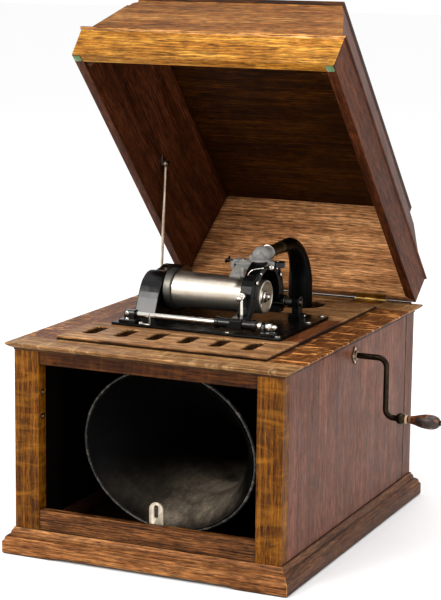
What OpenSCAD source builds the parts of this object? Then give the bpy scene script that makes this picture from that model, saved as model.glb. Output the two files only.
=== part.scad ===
// Table-top cylinder phonograph with an internal horn and a hinged lid.
// Millimetres. Origin: centre of the base's underside. +X to the crank side, +Y to the back, +Z up.
// The lid is drawn open, resting on its stay; it closes through lid_open_angle.

/* [Case] */
// Width of the body between the outer faces of the sides
body_w = 305; // [300:1:310]
// Depth of the body
body_d = 392; // [390:1:396]
// Height of the base moulding
base_h = 28; // [26:1:30]
// Height of the underside of the top boards
top_under = 220.6; // [219:0.2:222]
// Thickness of the top boards
top_t = 8; // [7:0.5:9]
// Thickness of the side and back panels
panel_t = 14; // [12:1:15]
// Width of the front stiles
stile_w = 28.5; // [26:0.5:30]
// How far the base moulding stands out from the body
base_out = 11.2; // [10:0.2:12]
// How far the top boards stand out from the body
top_out = 8.2; // [7:0.2:9]

/* [Lid] */
// Angle at which the lid stands open
lid_open_angle = 45.9; // [44:0.1:46]
// Half width of the lid rim
lid_half_w = 150.5; // [149:0.5:151]
// Length of the lid from the hinge line to its front
lid_len = 405.2; // [404:0.2:406]
// Thickness of the lid rim
lid_rim_t = 10.3; // [10:0.1:11]
// Inside height of the lid when it is closed
lid_in_h = 114.5; // [113:0.5:116]
// Outside height of the lid when it is closed
lid_h = 121; // [120:0.5:122]

/* [Mechanism] */
// Distance of the mandrel axis in front of the body centre
mandrel_front = 11.2; // [11:0.1:11.4]
// Height of the mandrel axis
mandrel_z = 263.5; // [263:0.1:264]
// Radius of the mandrel at its large end
mandrel_r_big = 20.4; // [20:0.1:20.6]
// Radius of the mandrel at its small end
mandrel_r_small = 18.5; // [18:0.1:19]
// Travel of the carriage along the cylinder
carriage_travel = 88; // [80:1:88]
// Radial running clearance of shafts in their bearings
run_gap = 0.05; // [0.03:0.01:0.08]
// Outer radius of the vertical horn tube
horn_tube_r = 20; // [19.5:0.1:20.5]
// Radius of the gooseneck tube
neck_r = 13.6; // [13.5:0.1:14]

/* [Crank] */
// Distance of the crank shaft in front of the body centre
crank_front = 1.2; // [1:0.1:1.4]
// Height of the crank shaft
crank_z = 207; // [206.8:0.1:207.2]
// Length of the crank arm between its two bends
crank_arm = 64; // [60:1:68]
// Radius of the crank rod
crank_rod_r = 3.2; // [3:0.1:3.4]

/* [Hidden] */
$fn = 64;

oak = "#8a5a33";
dark_oak = "#5d3a24";
japan = "#191818";
nickel = "#c9c7c2";
brass = "#b08d4a";
steel = "#8f9194";

hw = body_w / 2;
hd = body_d / 2;
inner_x = hw - panel_t;
inner_y = hd - panel_t;
top_z = top_under + top_t;
deck_raise = 4;
deck_z = top_z + deck_raise;
bed_t = 3;
bed_z = deck_z + bed_t;
rail_t = 14;

// ---- General shapes ----
module block(lo, hi) translate(lo) cube(hi - lo);
module rod_x(x0, x1, yz, r) translate([x0, yz[0], yz[1]]) rotate([0, 90, 0]) cylinder(h = x1 - x0, r = r);
module rod_y(x, z, y0, y1, r, r_end = -1)
  translate([x, y0, z]) rotate([-90, 0, 0]) cylinder(h = y1 - y0, r1 = r, r2 = r_end < 0 ? r : r_end);
module rod_z(x, y, z0, z1, r) translate([x, y, z0]) cylinder(h = z1 - z0, r = r);
// A profile given as [y, z] points, extruded along X.
module plate_x(x0, x1) translate([x0, 0, 0]) rotate([90, 0, 90]) linear_extrude(x1 - x0) children();
// A profile given as [x, z] points, extruded along Y.
module plate_y(y0, y1) translate([0, y1, 0]) rotate([90, 0, 0]) linear_extrude(y1 - y0) children();
// A plan outline given as [x, y] points, extruded along Z.
module plate_z(z0, z1) translate([0, 0, z0]) linear_extrude(z1 - z0) children();
module both_sides() for (s = [0, 1]) mirror([s, 0, 0]) children();

// ---- Gears ----
pressure = 25;
addendum = 0.9;
dedendum = 1.25;
backlash = 0.18;
function involute_angle(a) = tan(a) * 180 / PI - a;
function flank_angle(r, rp, rb, mod) =
  (PI * mod / 2 - backlash) / (2 * rp) * 180 / PI + involute_angle(pressure)
  - (r <= rb ? 0 : involute_angle(acos(rb / r)));
function polar_xy(r, a) = [r * cos(a), r * sin(a)];
module gear_outline(teeth, mod, rot) {
  rp = teeth * mod / 2;
  rb = rp * cos(pressure);
  tip = rp + addendum * mod;
  root = rp - dedendum * mod;
  radii = [root, max(rb, root), rp, tip];
  polygon([for (k = [0 : teeth - 1]) let (mid = rot + k * 360 / teeth) each concat(
    [for (i = [0 : 3]) polar_xy(radii[i], mid - flank_angle(radii[i], rp, rb, mod))],
    [for (i = [3 : -1 : 0]) polar_xy(radii[i], mid + flank_angle(radii[i], rp, rb, mod))])]);
}
module gear(x0, x1, at, teeth, mod, rot, bore, window_r = 0, window_at = 0)
  plate_x(x0, x1) translate(at) difference() {
    gear_outline(teeth, mod, rot);
    circle(r = bore);
    if (window_r > 0) for (k = [0 : 4]) rotate(k * 72) translate([window_at, 0]) circle(r = window_r);
  }
// Angle of a driven gear so that its gap meets the driver's tooth along the line of centres.
function mesh_rot(dir, rot, teeth, driven) = dir + 180 - 180 / driven + (dir - rot) * teeth / driven;
function polar(p, r, a) = [p[0] + r * cos(a), p[1] + r * sin(a)];
function heading(p, q) = atan2(q[1] - p[1], q[0] - p[0]);
function centre_gap(mod, a, b) = mod * (a + b) / 2;
// Crossing of two circles round p and q.
function meet(p, rp, q, rq, side) = let (d = norm(q - p), u = (q - p) / d,
  a = (rp * rp - rq * rq + d * d) / (2 * d), h = sqrt(rp * rp - a * a))
  p + a * u + side * h * [-u[1], u[0]];

mandrel_teeth = 20;
feed_teeth = 56;
idler_teeth = 30;
second_teeth = 50;
pinion_teeth = 14;
great_teeth = 60;
gov_wheel_teeth = 60;
gov_pinion_teeth = 12;
crank_teeth = 18;
winding_teeth = 40;
fine_mod = 1;
great_mod = 1.5;
gov_mod = 0.8;
wind_mod = 1.25;

mandrel_c = [-mandrel_front, mandrel_z];
crank_c = [-crank_front, crank_z];
feed_dir = -15.8;
idler_dir = -106.3;
barrel_dir = -58.4;
gov_dir = 193.5;
feed_c = polar(mandrel_c, centre_gap(fine_mod, mandrel_teeth, feed_teeth), feed_dir);
idler_c = polar(mandrel_c, centre_gap(fine_mod, mandrel_teeth, idler_teeth), idler_dir);
barrel_c = polar(crank_c, centre_gap(wind_mod, crank_teeth, winding_teeth), barrel_dir);
second_c = meet(idler_c, centre_gap(fine_mod, idler_teeth, second_teeth),
  barrel_c, centre_gap(great_mod, pinion_teeth, great_teeth), -1);
gov_c = polar(second_c, centre_gap(gov_mod, gov_wheel_teeth, gov_pinion_teeth), gov_dir);
second_dir = heading(idler_c, second_c);
great_dir = heading(second_c, barrel_c);
mandrel_rot = feed_dir;
feed_rot = mesh_rot(feed_dir, mandrel_rot, mandrel_teeth, feed_teeth);
idler_rot = mesh_rot(idler_dir, mandrel_rot, mandrel_teeth, idler_teeth);
second_rot = mesh_rot(second_dir, idler_rot, idler_teeth, second_teeth);
great_rot = mesh_rot(great_dir, great_dir, pinion_teeth, great_teeth);
gov_rot = mesh_rot(gov_dir, gov_dir, gov_wheel_teeth, gov_pinion_teeth);
winding_rot = mesh_rot(barrel_dir, barrel_dir, crank_teeth, winding_teeth);

shaft_r = 4;
fine_shaft_r = 3;
arbor_r = 5;
gov_shaft_r = 2;
feed_plane = [-70.5, -66.5];
train_plane = [-80, -76];
plate_left = [-60, -57];
plate_right = [34, 37];

// ---- Base and carcase ----
base_profile = [[-panel_t, 0], [base_out - 1.2, 0], [base_out, 1.4], [base_out, 13.5], [base_out - 1.8, 15.2],
  [base_out - 2.4, 18.2], [base_out - 4.6, 20.2], [base_out - 6.8, 20.8], [base_out - 7.4, 24.2],
  [base_out - 9, 26.2], [base_out - 9.6, base_h], [-panel_t, base_h]];
module side_wedge(out) polygon([[hw + out + 1, -hd - out - 1], [hw + out + 1, hd + out + 1],
  [hw - 60, hd - 60], [hw - 60, -hd + 60]]);
module end_wedge(out) polygon([[-hw - out - 1, -hd - out - 1], [hw + out + 1, -hd - out - 1],
  [hw - 60, -hd + 60], [-hw + 60, -hd + 60]]);
module moulding_front() intersection() {
  plate_x(-hw - base_out, hw + base_out) translate([-hd, 0]) mirror([1, 0]) polygon(base_profile);
  plate_z(-1, base_h + 1) end_wedge(base_out);
}
module moulding_side() intersection() {
  plate_y(-hd - base_out, hd + base_out) translate([hw, 0]) polygon(base_profile);
  plate_z(-1, base_h + 1) side_wedge(base_out);
}
arch_h = 3.2;
arch_ease = 26;
arch_left = -117;
arch_right = 117;
function ease(t) = arch_h * (1 - cos(180 * t)) / 2;
module foot_arch() polygon(concat([[arch_left, -1]],
  [for (t = [0 : 0.125 : 1]) [arch_left + arch_ease * t, ease(t)]],
  [for (t = [0 : 0.125 : 1]) [arch_right - arch_ease * (1 - t), ease(1 - t)]], [[arch_right, -1]]));
module base_front() color(oak) difference() {
  moulding_front();
  plate_y(-hd - base_out - 1, -hd + panel_t + 1) foot_arch();
}
module base_back() color(oak) rotate([0, 0, 180]) moulding_front();
module base_sides() color(oak) both_sides() moulding_side();
bottom_t = 10;
module bottom_board() color(dark_oak) block([-inner_x, -inner_y, 0], [inner_x, inner_y, bottom_t]);

rear_stile_w = 27;
front_strip = rail_t;
crank_hole_r = 6;
module side_panels() color(oak) difference() {
  both_sides() block([inner_x, -hd + front_strip, base_h], [hw, hd - rear_stile_w, top_under]);
  rod_x(inner_x - 1, hw + 1, crank_c, crank_hole_r);
}
module rear_stiles() color(oak) both_sides() difference() {
  block([inner_x, hd - rear_stile_w, base_h], [hw, hd, top_under]);
  block([hw - 1, hd - rear_stile_w - 1, base_h - 1], [hw + 1, hd - rear_stile_w + 1.5, top_under + 1]);
}
module back_panel() color(dark_oak) block([-inner_x, hd - 10, base_h], [inner_x, hd - 2, top_under]);
stile_proud = 1;
module front_stiles() color(oak) both_sides()
  block([hw - stile_w, -hd - stile_proud, base_h], [hw, -hd + rail_t, top_under]);
top_rail_h = 13.6;
bottom_rail_h = 22;
opening_x = hw - stile_w;
module top_rail() color(oak)
  block([-opening_x, -hd, top_under - top_rail_h], [opening_x, -hd + rail_t, top_under]);
module bottom_rail() color(oak) difference() {
  block([-opening_x, -hd, base_h], [opening_x, -hd + rail_t, base_h + bottom_rail_h]);
  block([-opening_x - 1, -hd + 9, base_h + bottom_rail_h - 3],
    [opening_x + 1, -hd + rail_t + 1, base_h + bottom_rail_h + 1]);
}

// ---- Top frame and deck ----
deck_hw = 120;
frame_in_x = 108;
frame_y0 = -166.2;
frame_y1 = 155.8;
top_profile = [[-30, 0], [1, 0], [1, 1.7], [2.4, 2.5], [5, 3.8], [7.2, 5.4], [top_out, 6.8],
  [top_out - 0.2, 7.6], [top_out - 0.8, top_t], [-30, top_t]];
module nosing_front() intersection() {
  plate_x(-hw - top_out, hw + top_out) translate([-hd, top_under]) mirror([1, 0]) polygon(top_profile);
  plate_z(top_under - 1, top_z + 1) end_wedge(top_out);
}
module nosing_side() intersection() {
  plate_y(-hd - top_out, hd + top_out) translate([hw, top_under]) polygon(top_profile);
  plate_z(top_under - 1, top_z + 1) side_wedge(top_out);
}
module top_slab() {
  nosing_front();
  rotate([0, 0, 180]) nosing_front();
  both_sides() nosing_side();
  difference() {
    block([-hw + 25, -hd + 25, top_under], [hw - 25, hd - 25, top_z]);
    block([-frame_in_x, frame_y0, top_under - 1], [frame_in_x, frame_y1, top_z + 1]);
  }
}
hinge_x = 96;
hinge_half = 19;
hinge_y = 206.3;
knuckle_r = 3;
leaf_t = 1.6;
module hinge_mortise() for (s = [-1, 1]) translate([s * hinge_x, 0, 0]) {
  block([-hinge_half - 0.5, hinge_y - 26, top_z - leaf_t], [hinge_half + 0.5, hinge_y, top_z + 1]);
  rod_x(-hinge_half - 0.5, hinge_half + 0.5, [hinge_y, top_z], knuckle_r + 0.6);
}
module top_board_front() color(oak) intersection() {
  top_slab();
  block([-hw - 20, -hd - 20, top_under - 1], [hw + 20, frame_y0, top_z + 1]);
}
module top_board_rear() color(oak) difference() {
  intersection() {
    top_slab();
    block([-hw - 20, frame_y1, top_under - 1], [hw + 20, hd + 20, top_z + 1]);
  }
  hinge_mortise();
}
stay_x = -132;
stay_slot_y = [104, 130];
stay_slot_w = 8;
module top_board_sides() color(oak) difference() {
  intersection() {
    top_slab();
    block([-hw - 20, frame_y0, top_under - 1], [hw + 20, frame_y1, top_z + 1]);
  }
  block([stay_x - stay_slot_w / 2, stay_slot_y[0], top_under - 1],
    [stay_x + stay_slot_w / 2, stay_slot_y[1], top_z + 1]);
}

bed_x = [-96, 102];
bed_y = [-86.2, 51.8];
well_x = [-90, 96];
well_y = [-80.2, 45.8];
plug_t = 6;
plug_gap = 0.4;
module deck_blank(x0, x1, y0, y1) {
  block([x0, y0, top_z], [x1, y1, deck_z]);
  block([max(x0, -frame_in_x + plug_gap), max(y0, frame_y0 + plug_gap), top_z - plug_t],
    [min(x1, frame_in_x - plug_gap), min(y1, frame_y1 - plug_gap), top_z]);
}
slot_pitch = 36.4;
slot_row_x = -6;
slot_w = 15.4;
slot_y = [-141.2, -97.2];
// The slots have small corner radii. Hairline cuts part the board into plain bars.
slot_corner = 2.4;
saw_gap = 0.1;
module deck_slot(x) plate_z(top_z - plug_t - 1, deck_z + 1) {
  for (i = [-1, 1]) for (y = [slot_y[0] + slot_corner, slot_y[1] - slot_corner])
    translate([x + i * (slot_w / 2 - slot_corner), y]) circle(r = slot_corner);
  translate([x - slot_w / 2, slot_y[0] + slot_corner])
    square([slot_w, slot_y[1] - slot_y[0] - 2 * slot_corner]);
  translate([x - slot_w / 2 + slot_corner, slot_y[0]])
    square([slot_w - 2 * slot_corner, slot_y[1] - slot_y[0]]);
}
module saw_cut(y) block([-deck_hw - 1, y - saw_gap / 2, top_z - plug_t - 1],
  [deck_hw + 1, y + saw_gap / 2, deck_z + 1]);
deck_y0 = frame_y0 + 1;
module deck_front() color(oak) difference() {
  deck_blank(-deck_hw, deck_hw, deck_y0, well_y[0]);
  for (k = [-2.5 : 1 : 2.5]) deck_slot(slot_row_x + k * slot_pitch);
  saw_cut(slot_y[0] + slot_corner);
  saw_cut(slot_y[1] - slot_corner);
}
module deck_sides() color(oak) {
  deck_blank(-deck_hw, well_x[0], well_y[0], well_y[1]);
  deck_blank(well_x[1], deck_hw, well_y[0], well_y[1]);
}
tube_hole_x = [-82, 69];
tube_hole_y = [93.8, 148.8];
tube_hole_r = 27.4;
module tube_hole() plate_z(top_z - plug_t - 1, deck_z + 1) {
  for (x = [tube_hole_x[0] + tube_hole_r, tube_hole_x[1] - tube_hole_r])
    translate([x, (tube_hole_y[0] + tube_hole_y[1]) / 2]) circle(r = tube_hole_r);
  translate([tube_hole_x[0] + tube_hole_r, tube_hole_y[0] + 0.1])
    square([tube_hole_x[1] - tube_hole_x[0] - 2 * tube_hole_r, 2 * tube_hole_r]);
}
gear_notch = [-84.6, -64];
module deck_rear() color(oak) difference() {
  deck_blank(-deck_hw, deck_hw, well_y[1], frame_y1);
  tube_hole();
  block([gear_notch[0], well_y[1] - 1, top_z - plug_t - 1], [gear_notch[1], well_y[1] + 2.6, deck_z + 1]);
}

// ---- Small fittings on the case ----
catch_z = [150.5, 176.5];
module grille_catches() color(nickel) for (z = catch_z) {
  block([-opening_x, -hd + 3, z - 4], [-opening_x + 1.2, -hd + 11, z + 4]);
  rod_x(-opening_x + 1.2, -opening_x + 3, [-hd + 7, z], 2.2);
}
escutcheon_half = 10;
escutcheon_w = 8;
module escutcheon() color(nickel) difference() {
  union() {
    plate_x(hw, hw + 1.6) translate(crank_c)
      polygon([[-escutcheon_w, 0], [0, -escutcheon_half], [escutcheon_w, 0], [0, escutcheon_half]]);
    rod_x(hw + 1.6, hw + 4.4, crank_c, 4.8);
    rod_x(hw - panel_t + 2, hw, crank_c, crank_hole_r);
  }
  rod_x(hw - panel_t, hw + 6, crank_c, crank_rod_r + run_gap);
}
keeper_x = [-2, 14];
keeper_z = [31, 71.5];
keeper_y = -hd + rail_t;
pivot_at = [6, -171];
pivot_r = 4;
pivot_top = 30;
module horn_keeper() color(brass) {
  keeper_plate();
  rod_z(pivot_at[0], pivot_at[1], bottom_t, pivot_top, pivot_r);
}
module keeper_plate() plate_y(keeper_y, keeper_y + 1.8) difference() {
  union() {
    translate([keeper_x[0], keeper_z[0]]) square([keeper_x[1] - keeper_x[0], keeper_z[1] - keeper_z[0] - 8]);
    translate([(keeper_x[0] + keeper_x[1]) / 2, keeper_z[1] - 8]) circle(r = 8);
  }
  for (z = [57, 64]) translate([(keeper_x[0] + keeper_x[1]) / 2, z]) circle(r = 2.4);
  translate([(keeper_x[0] + keeper_x[1]) / 2 - 2.4, 57]) square([4.8, 7]);
}
pin_r = 1.3;
knuckle_gap = 0.25;
middle_half = 7;
module knuckle(x0, x1) rod_x(x0, x1, [hinge_y, top_z], knuckle_r);
module lid_hinge_lower() color(brass) for (s = [-1, 1]) translate([s * hinge_x, 0, 0]) {
  difference() {
    block([-hinge_half, hinge_y - 25.5, top_z - leaf_t], [hinge_half, hinge_y - 1.2, top_z - 0.1]);
    rod_x(-middle_half - knuckle_gap, middle_half + knuckle_gap, [hinge_y, top_z], knuckle_r + 0.4);
  }
  knuckle(-hinge_half, -middle_half - knuckle_gap);
  knuckle(middle_half + knuckle_gap, hinge_half);
  rod_x(-hinge_half, hinge_half, [hinge_y, top_z], pin_r);
}

// ---- Bedplate and what stands on it ----
bed_slot_y = [-36, 49.4];
bed_slot_x = [-84.6, -64];
module bedplate() color(japan) difference() {
  block([bed_x[0], bed_y[0], deck_z], [bed_x[1], bed_y[1], bed_z]);
  block([bed_slot_x[0], bed_slot_y[0], deck_z - 1], [bed_slot_x[1], bed_slot_y[1], bed_z + 1]);
}
start_at = [-62, -83.6];
bed_screw_at = [[-92, -30], [96, -80.5], [96, 6], [96, 46], [-30, 46], [40, -83]];
module bed_screws() color(nickel) {
  for (p = bed_screw_at) {
    rod_z(p[0], p[1], bed_z, bed_z + 0.8, 3.2);
    translate([p[0], p[1], bed_z + 0.8]) cylinder(h = 0.8, r1 = 3.2, r2 = 2);
  }
  rod_z(start_at[0], start_at[1], bed_z, bed_z + 2, 1.2);
}
housing_x = [-87, -62];
housing_wall = 2;
cover_r = 30.6;
cover_wall = 1.3;
housing_front = [[-52, bed_z], [-49, 240], [-46.5, 246], [-42, 256], [-35, 268.7], [-31, 273.5], [-25, 278],
  [-18, 281.2], [-8, 282], [0, 280.6], [10, 277], [20, 272], [20, bed_z]];
cavity_front = [[-49.6, bed_z - 1], [-46.8, 240.8], [-44.3, 247], [-40, 257], [-33.2, 269.2], [-29.6, 272],
  [-24, 275.9], [-17.4, 279], [-8, 279.8], [0, 278.4], [10, 275], [20, 270], [20, bed_z - 1]];
module gear_housing() color(japan) {
  difference() {
    plate_x(housing_x[0], housing_x[1]) {
      polygon(housing_front);
      intersection() {
        translate(feed_c) circle(r = cover_r);
        translate([-30, bed_z]) square([120, 80]);
      }
    }
    plate_x(housing_x[0] + housing_wall, housing_x[1] - housing_wall) {
      polygon(cavity_front);
      intersection() {
        translate(feed_c) circle(r = cover_r - cover_wall);
        translate([-30, bed_z - 1]) square([120, 80]);
      }
    }
    rod_x(housing_x[0] - 1, housing_x[1] + 1, mandrel_c, shaft_r + run_gap);
    rod_x(housing_x[0] - 1, housing_x[1] + 1, feed_c, shaft_r + run_gap);
  }
  rod_x(housing_x[0] + housing_wall - 0.5, train_plane[1] + 1.5, idler_c, fine_shaft_r);
}
guide_y = -78.2;
guide_z = 245;
guide_r = 3;
sleeve_x = [24, 72];
guide_x = [sleeve_x[0] - carriage_travel - 10, 88];
module guide_rod() color(nickel) {
  rod_x(guide_x[0], guide_x[1], [guide_y, guide_z], guide_r);
  rod_x(73.5, 77.5, [guide_y, guide_z], guide_r + 1.2);
}
module rod_brackets() color(japan) difference() {
  union() {
    block([guide_x[0] - 14, -85.6, bed_z], [guide_x[0] + 6, -71.4, bed_z + 4]);
    block([guide_x[0] - 8, -84.2, bed_z + 4], [guide_x[0] + 4, -72.2, guide_z + 4.5]);
    block([78, -84.2, bed_z], [92, -72.2, guide_z + 1]);
    rod_x(78, 92, [guide_y, guide_z], 5);
  }
  rod_x(guide_x[0], guide_x[1], [guide_y, guide_z], guide_r);
}
feed_x = [-86, 80];
post_x = [68, 82];
module feed_post() color(japan) difference() {
  union() {
    block([post_x[0], feed_c[0] - 9, bed_z], [post_x[1], feed_c[0] + 9, bed_z + 5]);
    block([post_x[0] + 3, feed_c[0] - 6, bed_z + 5], [post_x[1] - 3, feed_c[0] + 6, feed_c[1]]);
    rod_x(post_x[0] + 3, post_x[1] - 3, feed_c, 7);
  }
  rod_x(post_x[0], post_x[1], feed_c, shaft_r + run_gap);
}

// ---- Spring motor ----
motor_outline = [[-74, deck_z], [-74, 184], [-62, 174], [-42, 166], [-30, 166], [0, 156], [32, 156],
  [43, 170], [44, 200], [44, deck_z]];
module motor_plate(x) difference() {
  plate_x(x[0], x[1]) polygon(motor_outline);
  rod_x(x[0] - 1, x[1] + 1, second_c, fine_shaft_r + run_gap);
  rod_x(x[0] - 1, x[1] + 1, barrel_c, arbor_r + run_gap);
  rod_x(x[0] - 1, x[1] + 1, gov_c, gov_shaft_r + run_gap);
}
module motor_plates() color(steel) {
  motor_plate(plate_left);
  difference() {
    motor_plate(plate_right);
    rod_x(plate_right[0] - 1, plate_right[1] + 1, crank_c, crank_rod_r + run_gap);
  }
}
module motor_pillars() color(brass) for (p = [[-68, 225], [38, 225], [-47, 172]])
  rod_x(plate_left[1], plate_right[0], p, 3.6);
brake_x = [-34.4, -32];
module governor_brake() color(steel) {
  block([brake_x[0], gov_c[0] - 2.5, gov_c[1] + 8.5], [brake_x[1], gov_c[0] + 2.5, deck_z]);
  block([brake_x[0], gov_c[0] - 5, deck_z - 2], [brake_x[1] + 10, gov_c[0] + 5, deck_z]);
}
module turned_x(yz, profile)
  translate([0, yz[0], yz[1]]) rotate([0, 90, 0]) rotate_extrude() polygon(profile);
// The record cylinder slides on over the small end and stops at the flange.
mandrel_x = [-61, 53.8];
flange_r = 23;
module mandrel() color(nickel) turned_x(mandrel_c, [[shaft_r, mandrel_x[0]], [flange_r, mandrel_x[0]],
  [flange_r, mandrel_x[0] + 9.5], [mandrel_r_big, mandrel_x[0] + 10.5], [mandrel_r_small, mandrel_x[1] - 0.8],
  [mandrel_r_small - 0.7, mandrel_x[1]], [mandrel_r_small - 2.2, mandrel_x[1]], [mandrel_r_small - 2.2, 44],
  [9, 44], [9, 49], [6, 52], [shaft_r, 52]]);
module mandrel_shaft() color(nickel) {
  rod_x(-86.5, 56.5, mandrel_c, shaft_r);
  gear(-81, -65.5, mandrel_c, mandrel_teeth, fine_mod, mandrel_rot, shaft_r - 0.4);
}
module feed_screw() color(steel) {
  rod_x(feed_x[0], feed_x[1], feed_c, shaft_r);
  gear(feed_plane[0], feed_plane[1], feed_c, feed_teeth, fine_mod, feed_rot, shaft_r - 0.4, 5.5, 15.8);
}
module idler_gear() color(brass)
  gear(train_plane[0], train_plane[1], idler_c, idler_teeth, fine_mod, idler_rot, fine_shaft_r + run_gap);
module second_wheel() color(brass) {
  rod_x(-83, 38, second_c, fine_shaft_r);
  gear(train_plane[0], train_plane[1], second_c, second_teeth, fine_mod, second_rot, fine_shaft_r - 0.4,
    5, 13.5);
  gear(-52, -42, second_c, pinion_teeth, great_mod, great_dir, fine_shaft_r - 0.4);
  gear(12, 15, second_c, gov_wheel_teeth, gov_mod, gov_dir, fine_shaft_r - 0.4, 5, 14);
}
barrel_r = 36;
barrel_x = [-44, 4];
module spring_barrel() color(steel) {
  gear(-50, -44, barrel_c, great_teeth, great_mod, great_rot, arbor_r + run_gap);
  turned_x(barrel_c, [[arbor_r + run_gap, barrel_x[0]], [barrel_r, barrel_x[0]], [barrel_r, barrel_x[1]],
    [arbor_r + run_gap, barrel_x[1]], [arbor_r + run_gap, barrel_x[1] - 2], [barrel_r - 2, barrel_x[1] - 2],
    [barrel_r - 2, barrel_x[0] + 2], [arbor_r + run_gap, barrel_x[0] + 2]]);
}
spring_turns = 9;
spring_in = 8;
spring_step = 15;
spring_t = 0.7;
function spiral(a, side) =
  polar_xy(spring_in + (barrel_r - 2.2 - spring_in) * a / (360 * spring_turns) - side, a);
module mainspring() color(steel) plate_x(barrel_x[0] + 3, barrel_x[1] - 3) translate(barrel_c) polygon(concat(
  [for (a = [0 : spring_step : 360 * spring_turns]) spiral(a, 0)],
  [for (a = [360 * spring_turns : -spring_step : 0]) spiral(a, spring_t)]));
module winding_arbor() color(steel) {
  rod_x(-62, 40, barrel_c, arbor_r);
  gear(26, 31, barrel_c, winding_teeth, wind_mod, winding_rot, arbor_r - 0.4, 5, 14.5);
}
gov_mid = -18;
weight_at = 12.5;
module governor() color(brass) {
  rod_x(-60, 37, gov_c, gov_shaft_r);
  gear(8, 20, gov_c, gov_pinion_teeth, gov_mod, gov_rot, gov_shaft_r - 0.4);
  rod_x(1, 6, gov_c, 6.4);
  rod_x(-43, -39, gov_c, 6.4);
  rod_x(-38.9, -35.5, gov_c, 14);
  translate([0, gov_c[0], gov_c[1]]) for (k = [0 : 2]) rotate([k * 120, 0, 0]) {
    plate_y(-3, 3) polygon([[-35.6, 4.4], [gov_mid, weight_at - 4.4], [1.2, 4.4], [1.2, 5.4],
      [gov_mid, weight_at - 3.4], [-35.6, 5.4]]);
    translate([gov_mid, 0, weight_at - 4]) cylinder(h = 7, r = 4);
  }
}

// ---- Carriage, tone passage and reproducer ----
frame_x = [41, 57];
record_clear_r = 30;
module carriage_frame() color(japan) difference() {
  union() {
    plate_x(frame_x[0], frame_x[1]) difference() {
      polygon([[-86, 240], [-66, 240], [-54, 249], [-41, mandrel_z], [-38, 268], [15, 268], [19, mandrel_z],
        [19, 241], [33, 241], [33, 262], [31, 275], [23, 289], [10, 297], [-30, 297], [-44, 291], [-54, 282],
        [-58, 272], [-60, 258], [-66, 252.5], [-86, 251]]);
      translate(mandrel_c) circle(r = record_clear_r);
    }
    rod_x(sleeve_x[0], sleeve_x[1], [guide_y, guide_z], 6.2);
    rod_x(36, 62, feed_c, 7.5);
    block([frame_x[0] + 3, -20, 296], [frame_x[1] - 3, -2, 298]);
  }
  rod_x(sleeve_x[0] - 1, sleeve_x[1] + 1, [guide_y, guide_z], guide_r + run_gap);
  rod_x(30, 70, feed_c, shaft_r + run_gap);
}
guide_pin_x = [27, 34];
guide_pin_r = 1;
bar_x = [14, 74];
bar_z = [298, 303];
dome_x = 47.7;
dome_z = 308.8;
dome_r = 10.3;
arm_z = 309.4;
module carriage_bar() color("#6f7376") difference() {
  bar_solid();
  for (x = guide_pin_x) rod_z(x, mandrel_c[0], bar_z[0] - 1, bar_z[1] + 1, guide_pin_r + run_gap);
}
module bar_solid() {
  plate_z(bar_z[0], bar_z[1]) {
    for (x = [bar_x[0] + 7, bar_x[1] - 6]) translate([x, mandrel_c[0]]) circle(r = x > 40 ? 6 : 7);
    translate([bar_x[0] + 7, mandrel_c[0] - 6]) square([bar_x[1] - bar_x[0] - 13, 12]);
  }
  plate_x(bar_x[0], bar_x[0] + 5) translate([mandrel_c[0] - 8, 292.4]) square([16, bar_z[0] - 292.4]);
  translate([dome_x, mandrel_c[0], dome_z]) sphere(r = dome_r);
  neck_place() difference() {
    rod_y(0, arm_z, -neck_reach, collar_y[1], collar_r);
    rod_y(0, arm_z, collar_y[0], collar_y[1] + 1, sleeve_r);
  }
}
lever_at = [49, 273];
lever_pin_r = 2.2;
module carriage_screws() color(nickel) {
  rod_x(5, 14.4, [mandrel_c[0], 300.5], 1.6);
  rod_x(5, 7.5, [mandrel_c[0], 300.5], 4.4);
  rod_x(57, 58.6, [-45, 284], 2.6);
  rod_x(57, 58.6, [20, 284], 2.6);
  rod_y(lever_at[0], lever_at[1], -71, -56, lever_pin_r);
}
// The tone arm lies in a frame with the vertical tube at the origin and the dome at -Y.
neck_x = 44;
neck_y = 111;
neck_skew = atan2(dome_x - neck_x, neck_y - mandrel_c[0]);
neck_reach = norm([dome_x - neck_x, neck_y - mandrel_c[0]]);
module neck_place() translate([neck_x, neck_y, 0]) rotate([0, 0, neck_skew]) children();
collar_y = [14 - neck_reach, 19.4 - neck_reach];
collar_r = 7.8;
sleeve_r = 6.3;
spigot_r = 4.9;
neck_bend = 47;
neck_wall = 1.4;
neck_foot = 205;
neck_tip_y = -64.6;
neck_tip_r = 6.6;
neck_arm_r = 7.2;
neck_sides = 36;
neck_steps = 9;
function neck_grow(t) = neck_arm_r + (neck_r - neck_arm_r) * t;
function neck_ring(t, wall) = [neck_bend * (sin(90 * t) - 1), arm_z - neck_bend * (1 - cos(90 * t)),
  -90 * t, neck_grow(t) - wall, neck_grow(t) - wall];
function neck_side(wall) = concat([[neck_tip_y, arm_z, 0, neck_tip_r - wall, neck_tip_r - wall]],
  [for (k = [0 : neck_steps]) neck_ring(k / neck_steps, wall)],
  [[0, neck_foot, -90, neck_r - wall, neck_r - wall]]);
module gooseneck() color(japan) neck_place()
  ring_skin(concat(neck_side(0), reversed(neck_side(neck_wall))), neck_sides);
module neck_sleeve() color(brass) neck_place() difference() {
  union() {
    rod_y(0, arm_z, collar_y[0], neck_tip_y, sleeve_r);
    rod_y(0, arm_z, neck_tip_y, neck_tip_y + 6, spigot_r);
  }
  rod_y(0, arm_z, collar_y[0] - 1, neck_tip_y + 7, spigot_r - 1);
}
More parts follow.
